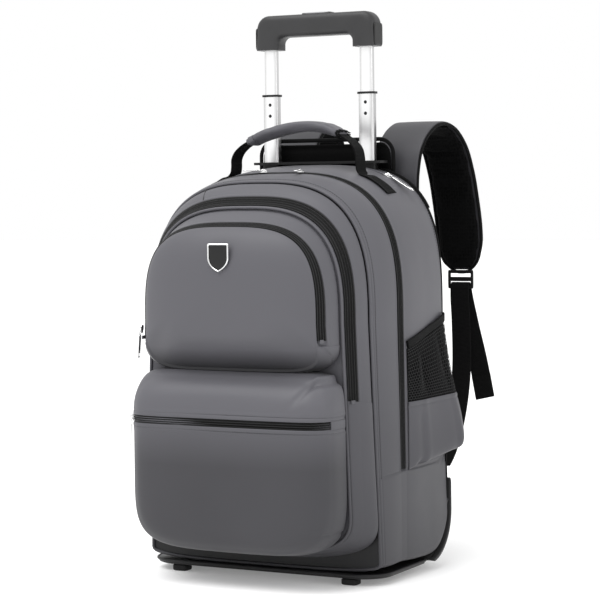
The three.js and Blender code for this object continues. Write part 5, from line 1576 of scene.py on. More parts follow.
edge_parts = []
for x0, x1, z0, z1 in PAD_PLANS:
    line = even_round(rounded_rectangle(x1 - x0 + 1.6, z1 - z0 + 1.6, 21.5, 12), 260)
    path = np.column_stack(
        [line[:, 0] + (x0 + x1) / 2, np.full(len(line), PAD_BASE + 2.4), line[:, 1] + (z0 + z1) / 2]
    )
    edge_parts.append(swept_ring(path, superellipse(3.4, 4.4, 2.2, 12), (0, 1, 0)))
pad_edges = make_object("back_pad_binding", edge_parts, binding_look)
settle(pad_edges, "bag", "black_fabric")

# %% [markdown]
# Over the back board's top the straps start from a black yoke, two padded rolls one above the other with
# a sewn line between them. It stands behind the handle tubes, and its rolls catch two thin lights.

# %% Yoke
YOKE_PLAN, YOKE_RISE, YOKE_LINE = (-90.0, 90.0, 431.0, 509.0), 12.0, 497.5


def yoke_seams(points):
    x, y, z = points.T
    line = YOKE_LINE + 1.5 * np.cos(np.pi * x / 180.0)
    pressed = 5.0 * hump(z, line, 1.9) + 2.6 * hump(z, 462.0, 2.0)
    front = -(1.6 * hump(z, line, 2.2)) * ease((PAD_BASE + 5.0 - y) / 3.0)
    return points - np.stack([0 * x, pressed * ease((y - PAD_BASE - 4.0) / 4.0) + front, 0 * z], -1)


yoke = make_object("yoke_roll", [pad_part(YOKE_PLAN, PAD_BASE + 0.3, YOKE_RISE - 1.6, 1.4, 18.0)], mesh_look)
swell(
    yoke, lining_look, 3.6, 4.0, 4.0, lambda points: ease((points[:, 1] - PAD_BASE - 0.4) / 4.0), yoke_seams,
)
settle(yoke, "bag", "black_fabric", "yoke_pad")
yoke_line = even_round(rounded_rectangle(YOKE_PLAN[1] - YOKE_PLAN[0] + 1.0, 79.0, 18.5, 12), 240)
yoke_path = np.column_stack([yoke_line[:, 0], np.full(240, PAD_BASE + 2.6), yoke_line[:, 1] + 470.0])
yoke_edge = make_object(
    "yoke_binding", [swept_ring(yoke_path, superellipse(3.2, 5.0, 2.2, 12), (0, 1, 0))],
    binding_look,
)
settle(yoke_edge, "bag", "black_fabric")

# %% [markdown]
# The carry handle is one webbing strap: sewn flat on the cloth, standing up at both ends and arched
# through a slim padded sleeve. The sleeve leans a little to the right, its left end has a small step
# where the cover is folded in, and its right end is a raw, frayed edge.

# %% Carry handle
HANDLE_SETBACK, HANDLE_SPREAD, GRIP_MIDDLE = 70.0, 82.0, 524.2
WEBBING_WIDTH, WEBBING_THICKNESS = 25.0, 1.8


def top_height(x, setback):
    """Height of the cloth over x: the arch's superellipse solved for z."""
    share = np.abs(x) / (outline_value("shoulder", setback) * HALF_WIDTH)
    power = outline_value("square", setback)
    crown = outline_value("crown", setback) * BAG_HEIGHT
    return SHOULDER_HEIGHT + (crown - SHOULDER_HEIGHT) * (1 - share**power) ** (1 / power)


sewn_x = np.array([124.0, 114.0, 104.0, 96.0])
sewn = np.stack([sewn_x, top_height(sewn_x, HANDLE_SETBACK) + 3.2], -1)
leg = [
    (HANDLE_SPREAD + 7, 466), (HANDLE_SPREAD + 3, 470), (HANDLE_SPREAD + 1.5, 477), (HANDLE_SPREAD + 1, 487),
]
arch = np.array([
    (80.5, -27.2), (74, -19.2), (62, -11.7), (45, -3.7), (22, 0.4), (0, 0), (-22, -3.9), (-45, -10.2),
    (-62, -17.2), (-73, -23.7), (-80, -30.7),
]) + [0, GRIP_MIDDLE]
right_leg = np.concatenate([sewn, leg])
handle_stops = np.concatenate([right_leg, arch, right_leg[::-1] * [-1, 1]])


def handle_line(stops, count):
    setbacks = np.full(len(stops), -HANDLE_SETBACK)
    return curve_through(np.column_stack([stops[:, 0], setbacks, stops[:, 1]]), count)


webbing_section = even_round(rounded_rectangle(WEBBING_WIDTH, WEBBING_THICKNESS, 0.7), 64)
handle_path = handle_line(handle_stops, 420)
carry_parts = [swept(handle_path, webbing_section, (0, 1, 0))]
carry = make_object("carry_strap", carry_parts, webbing_look)
settle(carry, "bag", "black_fabric", "carry_webbing")

grip_stops = np.array([
    (-60.5, -16.5, 28.0, 9.0), (-57, -15.1, 30.0, 10.4), (-45, -10.2, 32.4, 11.3), (-22, -3.9, 33.4, 11.5),
    (0, 0, 33.6, 11.5), (22, 0.4, 33.4, 11.5), (45, -3.7, 32.6, 11.4), (57, -9.1, 31.0, 10.6), (
        60.5, -11.0, 28.6, 9.2,
    ),
])
fine_x = np.linspace(-60.5, 60.5, 120)
grip_fine = smooth_between(grip_stops[:, 0], grip_stops[:, 1:], fine_x)
grip_path = np.column_stack([fine_x, np.full(120, -HANDLE_SETBACK), grip_fine[:, 0] + GRIP_MIDDLE])
sleeve_ring = superellipse(2.0, 2.0, 3.2, 48)
sleeve_sections = sleeve_ring[None] * (grip_fine[:, None, 1:] / 2 - 0.5)
sleeve_part = swept(grip_path, sleeve_sections, (0, 1, 0))
sleeve = make_object("carry_sleeve", [sleeve_part], grey_cloth)


def sleeve_free(points):
    return ease((58.0 - np.abs(points[:, 0])) / 10.0)


def sleeve_seams(points):
    """A seam low on the front edge, two soft creases where the hand bends it, a slack underside."""
    x, y, z = points.T
    middle = np.interp(x, fine_x, grip_fine[:, 0]) + GRIP_MIDDLE
    front = ease((-HANDLE_SETBACK - y - 13.0) / 2.5)
    seam = 0.9 * hump(z - middle, -2.8, 0.9) * front
    creases = 0.5 * (hump(x, -31.0, 3.0) + hump(x, 37.0, 3.4) + hump(x, 49.0, 2.2)) * ease((z - middle) / 3.0)
    return points + np.stack([0 * x, seam, -creases], -1)


swell(sleeve, grey_cloth, 2.6, 4.0, 1.6, sleeve_free, sleeve_seams)
settle(sleeve, "bag", "grey_fabric", "carry_grip")


def scattered(centres, axes, sizes, power_rows=((-1, 0.0), (-0.55, 0.85), (0.55, 0.85), (1, 0.0)), sides=6):
    """Many small lozenges as one part: each is a hexagonal spindle with its own place, axes and size.
    points = centre + along * a + across * b cos(t) + up * c sin(t), for whole arrays at once."""
    centres, axes, sizes = (np.asarray(v, float) for v in (centres, axes, sizes))
    count = len(centres)
    sizes = np.broadcast_to(sizes, (count, 3))
    t = np.linspace(0, 2 * np.pi, sides, endpoint=False)
    shape = [(power_rows[0][0], 0.0, 0.0)]
    for along, wide in power_rows[1:-1]:
        shape += [(along, wide * np.cos(a), wide * np.sin(a)) for a in t]
    shape.append((power_rows[-1][0], 0.0, 0.0))
    shape = np.array(shape)
    local = shape[None] * sizes[:, None] / 2
    points = centres[:, None] + np.einsum("nkj,njc->nkc", local, axes)
    k = np.arange(sides)
    n = (k + 1) % sides
    first = np.stack([np.zeros(sides, int), 1 + n, 1 + k, 1 + k], -1)[:, :3]
    rings = len(power_rows) - 2
    starts = [1 + ring * sides for ring in range(rings - 1)]
    bodies = [np.stack([at + k, at + n, at + sides + n, at + sides + k], -1) for at in starts]
    top = 1 + (rings - 1) * sides
    last = np.stack([top + k, top + n, np.full(sides, len(shape) - 1)], -1)
    step = (np.arange(count) * len(shape))[:, None, None]
    faces = (first[None] + step).reshape(-1, 3).tolist() + (last[None] + step).reshape(-1, 3).tolist()
    for body in bodies:
        faces += (body[None] + step).reshape(-1, 4).tolist()
    uvs = np.zeros((sum(len(f) for f in faces), 2)).tolist()
    return points.reshape(-1, 3), faces, uvs


def stitch_row(path, out, pitch=3.3, length=2.3, width=0.62, height=0.55):
    """Stitches at even steps along a path, lying along it; out is the cloth's normal at each point."""
    path, out = np.asarray(path, float), np.asarray(out, float)
    run = run_length(path)
    at = np.arange(pitch / 2, run[-1], pitch)
    place = np.stack([np.interp(at, run, path[:, k]) for k in range(3)], -1)
    ahead = np.stack([np.interp(at, run, np.gradient(path[:, k], run)) for k in range(3)], -1)
    up = np.stack([np.interp(at, run, np.broadcast_to(out, path.shape)[:, k]) for k in range(3)], -1)
    ahead = ahead / np.linalg.norm(ahead, axis=1, keepdims=True)
    up = up - (up * ahead).sum(1, keepdims=True) * ahead
    up = up / np.linalg.norm(up, axis=1, keepdims=True)
    axes = np.stack([ahead, np.cross(up, ahead), up], 1)
    return scattered(place, axes, (length, width, height))


fray = np.random.default_rng(7)
end_angle = fray.uniform(0, 2 * np.pi, 90)
end_y = -HANDLE_SETBACK + 14.6 * signed_power(np.cos(end_angle), 0.62)
end_z = GRIP_MIDDLE - 10.6 + 4.6 * signed_power(np.sin(end_angle), 0.62)
end_place = np.stack([60.0 + fray.uniform(-0.6, 2.2, 90), end_y, end_z + fray.uniform(-0.6, 0.6, 90)], -1)
end_axes = np.stack([
    np.stack([0.86 + 0 * end_y, fray.uniform(-0.35, 0.35, 90), -0.5 + fray.uniform(-0.3, 0.3, 90)], -1),
    np.tile([0.0, 1.0, 0.0], (90, 1)), np.tile([0.5, 0.0, 0.86], (90, 1)),
], 1)
end_sizes = np.stack([fray.uniform(low, high, 90) for low, high in ((3.5, 7.5), (1.2, 2.4), (0.8, 1.5))], -1)
fringe = make_object("carry_fringe", [scattered(end_place, end_axes, end_sizes)], binding_look)
settle(fringe, "bag", "black_fabric")
fold_ring = superellipse(2.0, 2.0, 3.0, 40)
left_fold = make_object(
    "carry_sleeve_fold",
    [
        swept(grip_path[2:9], fold_ring * [15.4, 5.9], (0, 1, 0)),
        swept(grip_path[:4] - [1.2, 0, 0.4], fold_ring * [13.6, 4.4], (0, 1, 0)),
    ],
    grey_cloth,
)
settle(left_fold, "bag", "grey_fabric")

# %% [markdown]
# Each shoulder strap has two layers sewn together: a coated outer face and a padded lining of air mesh,
# with a black binding over both edges. The strap rises over the back board's top, hangs down behind and
# narrows to a rounded tip. The lining swells as a pad; the face is a thin sheet carried along with it.
# The left strap leans in towards the middle near its top.

# %% Shoulder straps
STRAP_STOPS = np.array([
    (88, 21.7, 432, 0.92), (88, 22.2, 468, 0.95), (89, 30, 496, 0.97), (91, 52, 517, 1), (93, 77, 525, 1),
    (97, 104, 520, 1), (102, 125, 500, 1), (107, 136, 468, 1), (111, 140, 435, 1), (115, 141, 400, 1),
    (117, 141, 370, 0.9), (118, 141, 354, 0.66), (118, 141, 347, 0.4),
], float)
STRAP_WIDTH, FACE_THICK, LINING_THICK = 60.0, 3.0, 9.0
strap_line = curve_through(STRAP_STOPS, 240)
strap_path, strap_share = strap_line[:, :3], np.clip(strap_line[:, 3], 0.3, 1.0)


LEFT_LEAN, LEAN_START, LEAN_RISE = 34.0, 400.0, 80.0


def leant(points):
    """Points in bag millimetres on the left strap, moved in towards the middle near the strap's top."""
    lean = LEFT_LEAN * ease((points[:, 2] - LEAN_START) / LEAN_RISE)
    return points + np.stack([lean, 0 * lean, 0 * lean], -1)


def left_strap(part):
    points, faces, uvs = mirrored(part)
    return leant(points), faces, uvs


def strap_layer(section, shift, shares, path=strap_path):
    """A closed section carried along the strap; shift moves it towards the wearer."""
    ring = np.asarray(section, float)
    ring = np.stack(
        [ring[None, :, 0] * shares[:, None], np.broadcast_to(ring[:, 1] + shift, (len(path), len(ring)))],
        -1,
    )
    return sweep(path, ring, (1, 0, 0))


lining_ring = superellipse(STRAP_WIDTH - 3.0, LINING_THICK - 2.2, 3.4, 60)
lining = make_object(
    "strap_lining_pad_right", [capped(strap_layer(lining_ring, FACE_THICK / 2, strap_share))],
    mesh_look,
)
swell(lining, mesh_look, 3.4, 4.0, 1.6)
lining_left = mirror_piece(lining, "strap_lining_pad_left")
write_points(lining_left.data, to_row(leant(read_points(lining_left.data) / MM - [0.0, rear_edge, 0.0])))
for word, piece in (("right", lining), ("left", lining_left)):
    settle(piece, "bag", "black_fabric", "strap_lining_" + word)

face_ring = even_round(rounded_rectangle(STRAP_WIDTH - 0.8, FACE_THICK, 1.3, 6), 76)
face_ring[:, 1] -= 0.5 * np.cos(np.pi * face_ring[:, 0] / STRAP_WIDTH)
face_part = capped(strap_layer(face_ring, -LINING_THICK / 2, strap_share))
edge_half = (STRAP_WIDTH / 2 - 0.2) * strap_share
edge_centre = np.broadcast_to(np.array(-2.6), strap_share.shape)
outline_sections = np.stack([
    np.stack([edge_half, edge_centre], -1), np.stack([-edge_half, edge_centre], -1),
], 1)
edges = sweep(strap_path, outline_sections, (1, 0, 0))
tip_turn = np.linspace(0, np.pi, 26)[1:-1]
tip_half = (edges[-1, 0] - edges[-1, 1]) / 2
tip_middle = (edges[-1, 0] + edges[-1, 1]) / 2
tip_side = np.cos(tip_turn)[:, None] * tip_half
tip = tip_middle + tip_side + np.sin(tip_turn)[:, None] * np.array([0.0, 0.0, -3.2])
binding_line = np.concatenate([edges[:, 0], tip, edges[::-1, 1]])
binding_line = np.stack([
    np.interp(
        np.linspace(0, 1, 520), np.linspace(0, 1, len(binding_line)), binding_line[:, k],
    ) for k in range(3)
], -1)
bind_part = swept(binding_line, superellipse(4.4, 3.4, 2.4, 12), (0.2, 0.6, 0.77))
for word, turn in (("right", as_drawn), ("left", left_strap)):
    # The face's cloth is the darker copy that paints shade into its colour.
    face = make_object("strap_face_cloth_" + word, [turn(face_part)], strap_shaded_cloth)
    settle(face, "bag", "grey_fabric", "strap_face_" + word)
    bind = make_object("strap_binding_" + word, [turn(bind_part)], binding_look)
    settle(bind, "bag", "black_fabric")

# %% [markdown]
# Below the strap hang a ladder-lock buckle and its webbing: the fixed run comes up from the base corner,
# turns over the buckle's bar and hangs down again as a loose tail with a folded, sewn end.

# %% Buckles and strap webbing
BUCKLE = np.array([118.0, 141.0, 334.0])
buckle_parts = []
for dz, height, depth in ((-9.0, 3.6, 3.0), (1.1, 5.6, 3.0), (10.4, 4.4, 3.0)):
    buckle_parts.append(pebble(BUCKLE + [0, 0, dz], (34.0, depth, height), 5.0, 12, 40))
for dx in (-15.4, 15.4):
    buckle_parts.append(pebble(BUCKLE + [dx, 0, 0.8], (3.4, 3.0, 23.4), 5.0, 16, 20))
WEBBING_STOPS = np.array([
    (149, 5, 118), (148, 14, 122), (139, 70, 160), (130, 112, 215), (121, 133, 285), (118, 136.8, 318),
    (118, 137.6, 327), (118, 141, 330.6), (118, 144.4, 327), (119, 145.5, 318), (127, 146, 280),
    (140, 144, 230), (150, 141, 186),
], float)
webbing_path = curve_through(WEBBING_STOPS, 460)
webbing_parts = [swept(webbing_path, webbing_section, (1, 0, 0))]
tail_section = even_round(rounded_rectangle(WEBBING_WIDTH + 0.3, 3.4, 1.2), 64)
webbing_parts.append(swept(webbing_path[-34:-1], tail_section, (1, 0, 0)))
for word, turn in BOTH_SIDES:
    buckle = make_object("ladder_buckle_" + word, [turn(part) for part in buckle_parts], black_plastic)
    settle(buckle, "bag", "dark_plastic", "strap_buckle_" + word)
    strap_tail = make_object("strap_tail_" + word, [turn(part) for part in webbing_parts], webbing_look)
    settle(strap_tail, "bag", "black_fabric", "strap_webbing_" + word)

# %% [markdown]
# Each side pocket has a coated panel that stands off the bag like a cup, a black net above it and a bound
# mouth. One table gives its height at the front and the rear edge and how far it bulges, row by row,
# and both sheets are cut from that one surface.

# %% Side pocket surface
SIDE_FRONT, SIDE_REAR, SHEET = 106.0, 2.0, 1.5
SIDE_ROWS = np.array([
    (127, 142, 0), (130, 146, 20), (140, 156, 28), (172, 184, 25), (205, 209, 19), (232, 246, 11),
    (266, 292, 4), (273, 299, 3.5),
], float)
SIDE_COLUMNS = np.array([
    (0, 0), (0.06, 0.12), (0.25, 0.38), (0.5, 0.66), (0.72, 0.9), (0.86, 1.0), (0.95, 0.75), (1, 0.08),
])


def side_point(row, at):
    """row runs from the floor to the brim, at from the front edge to the rear; the bulge is the row's
    stand-off times the column's share, measured from the bag's own side."""
    row, at = np.broadcast_arrays(row, at)
    front, rear, bulge = np.moveaxis(smooth_between(np.arange(len(SIDE_ROWS)), SIDE_ROWS, row), -1, 0)
    share = smooth_between(SIDE_COLUMNS[:, 0], SIDE_COLUMNS[:, 1], at)
    setback = SIDE_FRONT + (SIDE_REAR - SIDE_FRONT) * at
    z = front + (rear - front) * at
    along = height_to_along(z, UNDER_MAIN)
    x = bag_point(setback, along, UNDER_MAIN)[..., 0]
    return np.stack([x + 1 + SHEET + bulge * share, -setback, z], -1)


def side_sheet(rows, columns, relief):
    row_grid, at_grid = np.meshgrid(rows, columns, indexing="ij")
    points = side_point(row_grid, at_grid)
    normals = grid_normals(points, centre=(100.0, -54.0, 210.0))
    return points + normals * relief(points, row_grid, at_grid)[..., None]


def panel_relief(points, row, at):
    hem = 0.6 * hump(row, 3.93, 0.05) - 0.5 * hump(row, 3.82, 0.03)
    fold = -1.6 * hump(at, 0.20, 0.045) * ease((3.7 - row) / 0.5) + 0.9 * hump(at, 0.27, 0.05)
    pinch = -2.2 * hump(at, 0.16, 0.05) * hump(row, 0.9, 0.7)
    corner = 1.0 * hump(at, 0.83, 0.05) * hump(row, 2.0, 0.9)
    return hem + fold + pinch + corner + waves(points, 33.0, 0.5)


panel_rows = np.concatenate(
    [np.linspace(0.0, 2.2, 40), np.linspace(2.25, 3.7, 34), np.linspace(3.72, 4.0, 15)]
)
panel_part = grid_part(side_sheet(panel_rows, np.linspace(0, 1, 110), panel_relief))
for word, turn in BOTH_SIDES:
    middle = (100.0 if word == "right" else -100.0, -54.0, 175.0)
    cup = make_object("side_cup_" + word, [turn(panel_part)], grey_cloth, inside=middle, angle=60.0)
    thicken(cup, 1.5)
    settle(cup, "bag", "grey_fabric", "side_panel_" + word)

# %% [markdown]
# The net is knitted from thick strands that leave holes of about four millimetres. A real net of strands
# is worth its faces here, because a black sheet just behind it shows through the holes: every hole is a
# hexagon, and each of its sides is one small prism bent over the pocket's surface.

# %% Side net and the black sheet behind it
def net_relief(points, row, at):
    """Two soft folds where the slack net billows."""
    first = 2.6 * hump(at, 0.16 + 0.05 * (row - 4), 0.07) - 2.4 * hump(at, 0.30 + 0.07 * (5 - row), 0.06)
    second = 2.2 * hump(at, 0.55, 0.16) - 1.6 * hump(at, 0.80 - 0.05 * (row - 4), 0.05)
    return (first + second) * np.sin(np.pi * np.clip((row - 4) / 2, 0, 1)) ** 0.7


net_rows, net_columns = np.linspace(4.0, 6.0, 60), np.linspace(0, 1, 90)
net_base = side_sheet(net_rows, net_columns, lambda points, row, at: net_relief(points, row, at) - 1.1)
net_surface = side_sheet(net_rows, net_columns, lambda points, row, at: net_relief(points, row, at) - 0.2)
net_normals = grid_normals(net_surface, centre=(100.0, -54.0, 210.0))
CELL = 4.3


def on_net(u, v, grid):
    """Reads a grid at fractional places: u and v run 0 to 1 over rows and columns, mixed linearly."""
    row = np.clip(u, 0, 1) * (grid.shape[0] - 1)
    column = np.clip(v, 0, 1) * (grid.shape[1] - 1)
    i, j = np.minimum(row.astype(int), grid.shape[0] - 2), np.minimum(column.astype(int), grid.shape[1] - 2)
    a, b = (row - i)[..., None], (column - j)[..., None]
    low = grid[i, j] * (1 - b) + grid[i, j + 1] * b
    high = grid[i + 1, j] * (1 - b) + grid[i + 1, j + 1] * b
    return low * (1 - a) + high * a


def net_strands():
    """Sides of a honeycomb laid on the sheet in millimetres: three directions from every second knot."""
    tall = np.linalg.norm(np.diff(net_surface, axis=0), axis=2).sum(0).mean()
    wide = np.linalg.norm(np.diff(net_surface, axis=1), axis=2).sum(1).mean()
    side = CELL / np.sqrt(3)
    i, j = np.meshgrid(
        np.arange(-1, int(wide / CELL) + 2), np.arange(-1, int(tall / (1.5 * side)) + 2), indexing="ij",
    )
    knots = np.stack([(i + 0.5 * (j % 2)) * CELL, j * 1.5 * side], -1).reshape(-1, 2)
    starts, ends = [], []
    for turn in (90.0, 210.0, 330.0):
        starts.append(knots)
        ends.append(knots + side * np.array([np.cos(np.radians(turn)), np.sin(np.radians(turn))]))
    starts, ends = np.concatenate(starts), np.concatenate(ends)
    middle = (starts + ends) / 2
    kept = (middle[:, 0] > 1) & (middle[:, 0] < wide - 1) & (middle[:, 1] > 0.6) & (middle[:, 1] < tall - 0.6)
    starts, ends = starts[kept], ends[kept]
    first = on_net(starts[:, 1] / tall, starts[:, 0] / wide, net_surface)
    second = on_net(ends[:, 1] / tall, ends[:, 0] / wide, net_surface)
    up = on_net(starts[:, 1] / tall, starts[:, 0] / wide, net_normals)
    ahead = second - first
    length = np.linalg.norm(ahead, axis=1, keepdims=True)
    ahead = ahead / np.maximum(length, 1e-6)
    axes = np.stack([ahead, np.cross(up, ahead), up], 1)
    sizes = np.concatenate([length + 0.5, np.full_like(length, 1.15), np.full_like(length, 0.8)], 1)
    return scattered((first + second) / 2, axes, sizes, ((-1, 0), (-0.7, 0.8), (0.7, 0.8), (1, 0)), 4)


strands = net_strands()
for word, turn in BOTH_SIDES:
    middle = (100.0 if word == "right" else -100.0, -54.0, 250.0)
    # A black sheet just behind the net shows through its holes.
    net_black_sheet = make_object("side_net_black_sheet_" + word, [turn(grid_part(net_base))], lining_look, inside=middle)
    thicken(net_black_sheet, 0.7)
    settle(net_black_sheet, "bag", "black_fabric", "side_net_" + word)
    net = make_object("side_net_strands_" + word, [turn(strands)], net_look)
    settle(net, "bag", "black_fabric", "side_net_" + word)

mouth_rows = side_point(np.full(140, 6.45), np.linspace(0.0, 1.0, 140))
binding_ring = even_round(rounded_rectangle(9.5, 2.6, 1.2), 40)
mouth_part = swept(mouth_rows, binding_ring, (0, 0, 1))
for word, turn in BOTH_SIDES:
    mouth = make_object("side_mouth_" + word, [turn(mouth_part)], binding_look)
    settle(mouth, "bag", "black_fabric", "side_binding_" + word)

# %% [markdown]
# A zip puller is a plated slider with a bridge, a small ring and a long tab: a thin bright frame round a
# dark insert, with an open loop at its end. Each is drawn once in its own frame (ahead, side, up) and
# placed by the same numbers that place its solid.

# %% Zip pullers
def turned_axes(lie, up):
    forward = np.asarray(lie, float) / np.linalg.norm(lie)
    side = np.cross(up, forward)
    side = side / np.linalg.norm(side)
    return np.stack([forward, side, np.cross(forward, side)])


def puller_parts(at, lie, up, length):
    """Bright parts, then the dark insert. Local sizes: the slider 10 x 9 x 4, the tab 6.4 wide."""
    axes = turned_axes(lie, up)
    at = np.asarray(at, float)

    def block(middle, size, power=4.0, rows=10, columns=20):
        return pebble(at + np.array(middle) @ axes, size, power, rows, columns, axes)

    def bar(stops, width, depth, loop=False):
        line = at + np.asarray(stops, float) @ axes
        return grid_part(
            sweep(line, superellipse(width, depth, 2.4, 12), axes[2], loop=loop), loop, True, caps=not loop,
        )

    slider = [
        block((-1.2, 0, 0.9), (7.4, 8.6, 1.7), 3.0), block((-0.6, 0, 2.2), (7.0, 5.2, 1.6), 3.0),
        block((2.6, 0, 0.9), (4.6, 6.4, 1.6), 3.0),
    ]
    t = np.linspace(0, np.pi, 14)
    bridge = np.stack([0.4 - 2.6 * np.cos(t), 0 * t, 2.5 + 1.5 * np.sin(t)], -1)
    slider.append(bar(bridge, 1.5, 1.2))
    turn = np.linspace(0, 2 * np.pi, 28, endpoint=False)
    ring = np.stack([4.2 + 2.6 * np.cos(turn), 2.2 * np.sin(turn), 3.3 + 0.25 * np.cos(turn)], -1)
    slider.append(bar(ring, 1.0, 1.0, True))
    start, end, half = 7.2, length - 0.8, 2.5
    side_steps = np.linspace(start + half, end - half, 10)
    arc = np.linspace(-np.pi / 2, np.pi / 2, 10)
    tab = np.concatenate([
        np.stack([side_steps, -half + 0 * side_steps, 3.2 + 0 * side_steps], -1),
        np.stack([end - half + half * np.cos(arc), half * np.sin(arc), 3.2 + 0 * arc], -1)[1:-1],
        np.stack([side_steps[::-1], half + 0 * side_steps, 3.2 + 0 * side_steps], -1),
        np.stack([start + half - half * np.cos(arc), -half * np.sin(arc), 3.2 + 0 * arc], -1)[1:-1],
    ])
    slider.append(bar(tab, 1.25, 1.7, True))
    slider.append(block((end - 2.2 * half, 0, 3.2), (1.3, 4.6, 1.3), 3.0, 8, 14))
    insert = [block(((start + end - 1.6 * half) / 2, 0, 3.2), (end - start - 2.6 * half, 4.2, 1.0), 5.0)]
    return slider, insert


def at_outline(setback, along, under, lift):
    return bag_point(setback, along, under, 0.8 + lift)


slice_point = pocket_slice(POCKET_ZIP_HEIGHT, 2.05, 2.0, 1200)[0]
PULLERS = [
    ("main_a", at_outline(ZIP_MAIN, -0.03, UNDER_MAIN, -0.1), (-1, -0.6, 0), (0, 0, 1), 25),
    ("main_b", at_outline(ZIP_MAIN, 0.05, UNDER_MAIN, -0.1), (0.2, -1, -0.05), (0, 0, 1), 22),
    ("rear", at_outline(ZIP_REAR, 0.315, UNDER_MAIN, 0.2), (1, -0.2, -0.55), (0.5, 0, 1), 42),
    ("front", at_outline(ZIP_FRONT, -1.04, UNDER_FRONT, 3.0), (-0.08, 0, -1), (-1, -0.2, 0.08), 34),
    ("pocket", slice_point - [1.35, 1.35, 0.0], (-0.05, 0, -1), (-0.8, -0.6, 0.05), 34),
]
for name, place, lie, up, length in PULLERS:
    bright, dark = puller_parts(place, lie, up, length)
    slider = make_object("slider_" + name, bright, plated_look)
    settle(slider, "bag", "bright_metal", "puller_" + name)
    insert = make_object("tab_insert_" + name, dark, black_plastic)
    settle(insert, "bag", "dark_plastic")

# %% [markdown]
# The badge on the front panel is a small upright shield: a plated rim, rounded over, round a plain
# black field. It is left bare. Its outline is straight on three sides and closes in two curves.

# %% Badge
BADGE_HEIGHT, BADGE_WIDE, BADGE_TALL = 375.0, 13.5, 16.0
badge_face = (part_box("emblem_rim")[0].y / MM) - rear_edge
badge_back = (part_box("emblem_rim")[1].y / MM) - rear_edge


def shield_line(w, h, count=120):
    """Top edge, right side, a curve to the point and its mirror image, at even steps."""
    t = np.linspace(0, 1, 30)[:, None]
    start, pull, end = np.array([(w, -0.1 * h), (0.9 * w, -0.65 * h), (0.0, -h)])
    curve = (1 - t) ** 2 * start + 2 * t * (1 - t) * pull + t**2 * end
    right = np.concatenate([[(0.0, h), (w - 0.8, h), (w, h - 0.8)], curve])
    return even_round(np.concatenate([right, right[1:-1][::-1] * [-1, 1]]), count)


def shield_rows(rows):
    rings = [np.column_stack([line[:, 0], np.full(len(line), y), line[:, 1] + BADGE_HEIGHT])
             for line, y in ((shield_line(BADGE_WIDE - i, BADGE_TALL - i), y) for i, y in rows)]
    return np.stack(rings)


badge_rim = make_object(
    "badge_rim",
    [grid_part(shield_rows([
        (0.0, badge_back), (0.0, badge_face + 0.9), (0.3, badge_face + 0.3), (0.9, badge_face),
        (1.3, badge_face + 0.1), (1.8, badge_face + 0.5), (2.0, badge_face + 1.0), (2.0, badge_back),
    ]), loop_rows=True, loop_columns=True)], plated_look,
)
settle(badge_rim, "bag", "bright_metal", "emblem_rim")
badge_field = make_object(
    "badge_field",
    [capped(shield_rows([
        (9.0, badge_back), (2.3, badge_back), (2.3, badge_face + 1.5), (2.6, badge_face + 1.15),
        (3.2, badge_face + 1.05), (9.0, badge_face + 0.95), (12.0, badge_face + 0.9),
    ]))], black_plastic,
)
settle(badge_field, "bag", "dark_plastic", "emblem_field")

# %% [markdown]
# The seams are what make cloth look sewn. Rows of stitches follow the same formulas as the sheets that
# they hold: beside the middle piping and the rear edge, along the pocket's folds and on the webbing.

# %% Stitches
def outline_stitches(setback, reach, under, grow, pitch=3.3, keep=None):
    along = even_along(reach, 900, setback, under)
    path = bag_point(setback, along, under, grow)
    out = path - bag_point(setback, along, under, grow - 1.0)
    if keep is not None:
        path, out = path[keep(path)], out[keep(path)]
    return stitch_row(path, out, pitch)


pocket_rows_of_stitches = []
for shift in (-8.9, 8.9):
    line = pocket_slice(POCKET_ZIP_HEIGHT + shift, 0.6, 1.2, 600, 0.35)
    ahead = np.gradient(line, axis=0)
    out = np.stack([ahead[:, 1], -ahead[:, 0], 0 * ahead[:, 0]], -1)
    pocket_rows_of_stitches.append(stitch_row(line, out, 3.1, 1.9, 0.5, 0.5))
stitches = make_object("stitches_pocket", pocket_rows_of_stitches, thread_look)
settle(stitches, "bag", "dark_fabric")

band_rows = [
    outline_stitches(MAIN_DEPTH - 6.5, 1.9, UNDER_MAIN, 0.6),
    outline_stitches(7.0, 1.9, UNDER_MAIN, 0.7),
]
band_stitches = make_object("stitches_bands", band_rows, thread_look)
settle(band_stitches, "bag", "dark_fabric")

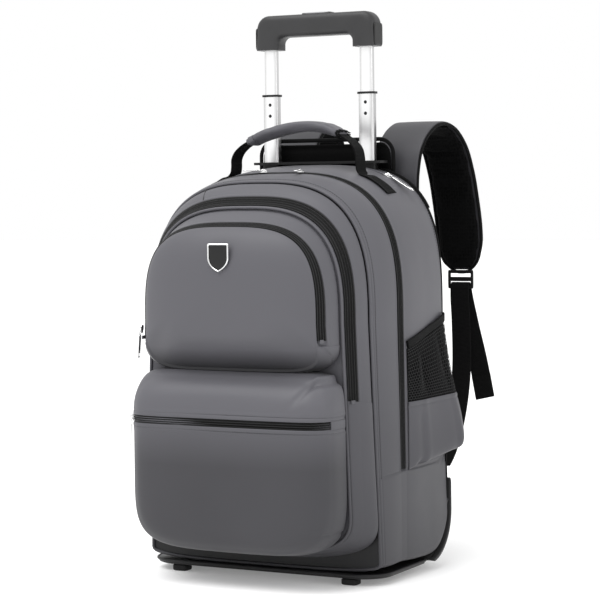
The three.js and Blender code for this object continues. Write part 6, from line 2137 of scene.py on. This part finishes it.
patch_path = handle_path[(handle_path[:, 0] > 97.0)]
normal_up = np.array([0.25, 0.0, 1.0])
webbing_rows = []
for shift in (-10.6, 10.6):
    webbing_rows.append(stitch_row(patch_path + [0.2, shift, 1.0], np.tile(normal_up, (len(patch_path), 1))))
    webbing_rows.append(
        stitch_row(
            (patch_path + [0.2, shift, 1.0]) * [-1, 1, 1],
            np.tile(normal_up * [-1, 1, 1], (len(patch_path), 1)),
        )
    )
cross_y = np.linspace(-10.6, 10.6, 30)
for x in (99.0, 121.5):
    z = np.interp(x, patch_path[::-1, 0], patch_path[::-1, 2])
    for side in (1, -1):
        line = np.column_stack([np.full(30, side * x), -HANDLE_SETBACK + cross_y, np.full(30, z + 1.0)])
        webbing_rows.append(stitch_row(line, np.tile(normal_up * [side, 1, 1], (30, 1))))
tail_path = webbing_path[-34:-1]
for shift in (-9.0, 0.0, 9.0):
    for side in (1, -1):
        line = (tail_path + [shift, 1.9, 0.6]) * [side, 1, 1]
        webbing_rows.append(stitch_row(line, np.tile([0.0, 1.0, 0.3], (len(line), 1))))
webbing_stitches = make_object("stitches_webbing", webbing_rows, thread_look)
settle(webbing_stitches, "bag", "dark_fabric")

# %% [markdown]
# Two last sewn details: the short dart in the top of the middle band, where two lengths of cloth meet,
# and the black welt that closes the top edge in front of the handle tubes.

# %% Dart, welt and zip end tabs
dart_setback = np.linspace(MAIN_DEPTH + 3.0, ZIP_MIDDLE - 7.0, 40)
dart_path = bag_point(dart_setback, -0.235 + 0.03 * (dart_setback - MAIN_DEPTH) / 25.0, UNDER_MIDDLE, 0.75)
dart = make_object(
    "seam_dart", [swept(dart_path, superellipse(1.3, 0.9, 2.0, 8), (1, 0, 0))],
    thread_look,
)
settle(dart, "bag", "dark_fabric")

welt_along = np.linspace(-0.62, 0.62, 260)
welt_top = bag_point(1.0, welt_along, UNDER_MAIN, 1.0)
top_welt = make_object(
    "top_welt", [swept(welt_top, superellipse(3.6, 3.6, 2.0, 14), (0, 1, 0))],
    binding_look,
)
settle(top_welt, "bag", "black_fabric")


def end_tab(setback, along_from, along_to, width, under, count=24):
    along = np.linspace(along_from, along_to, count)
    path = bag_point(setback, along, under, 0.9)
    return swept(path, superellipse(width, 1.6, 4.0, 18), (0, 1, 0))


tabs = []
for side in (1, -1):
    tabs.append(
        end_tab(
            ZIP_MIDDLE, side * (ZIP_MIDDLE_REACH - 0.006), side * (ZIP_MIDDLE_REACH + 0.012),
            ZIP_WIDTH + 3.0, UNDER_MIDDLE,
        )
    )
    tabs.append(
        end_tab(
            ZIP_FRONT, side * (ZIP_FRONT_REACH - 0.006), side * (ZIP_FRONT_REACH + 0.012),
            ZIP_FRONT_WIDTH + 3.0, UNDER_FRONT,
        )
    )
zip_tabs = make_object("zip_end_folds", tabs, grey_cloth)
settle(zip_tabs, "bag", "grey_fabric")
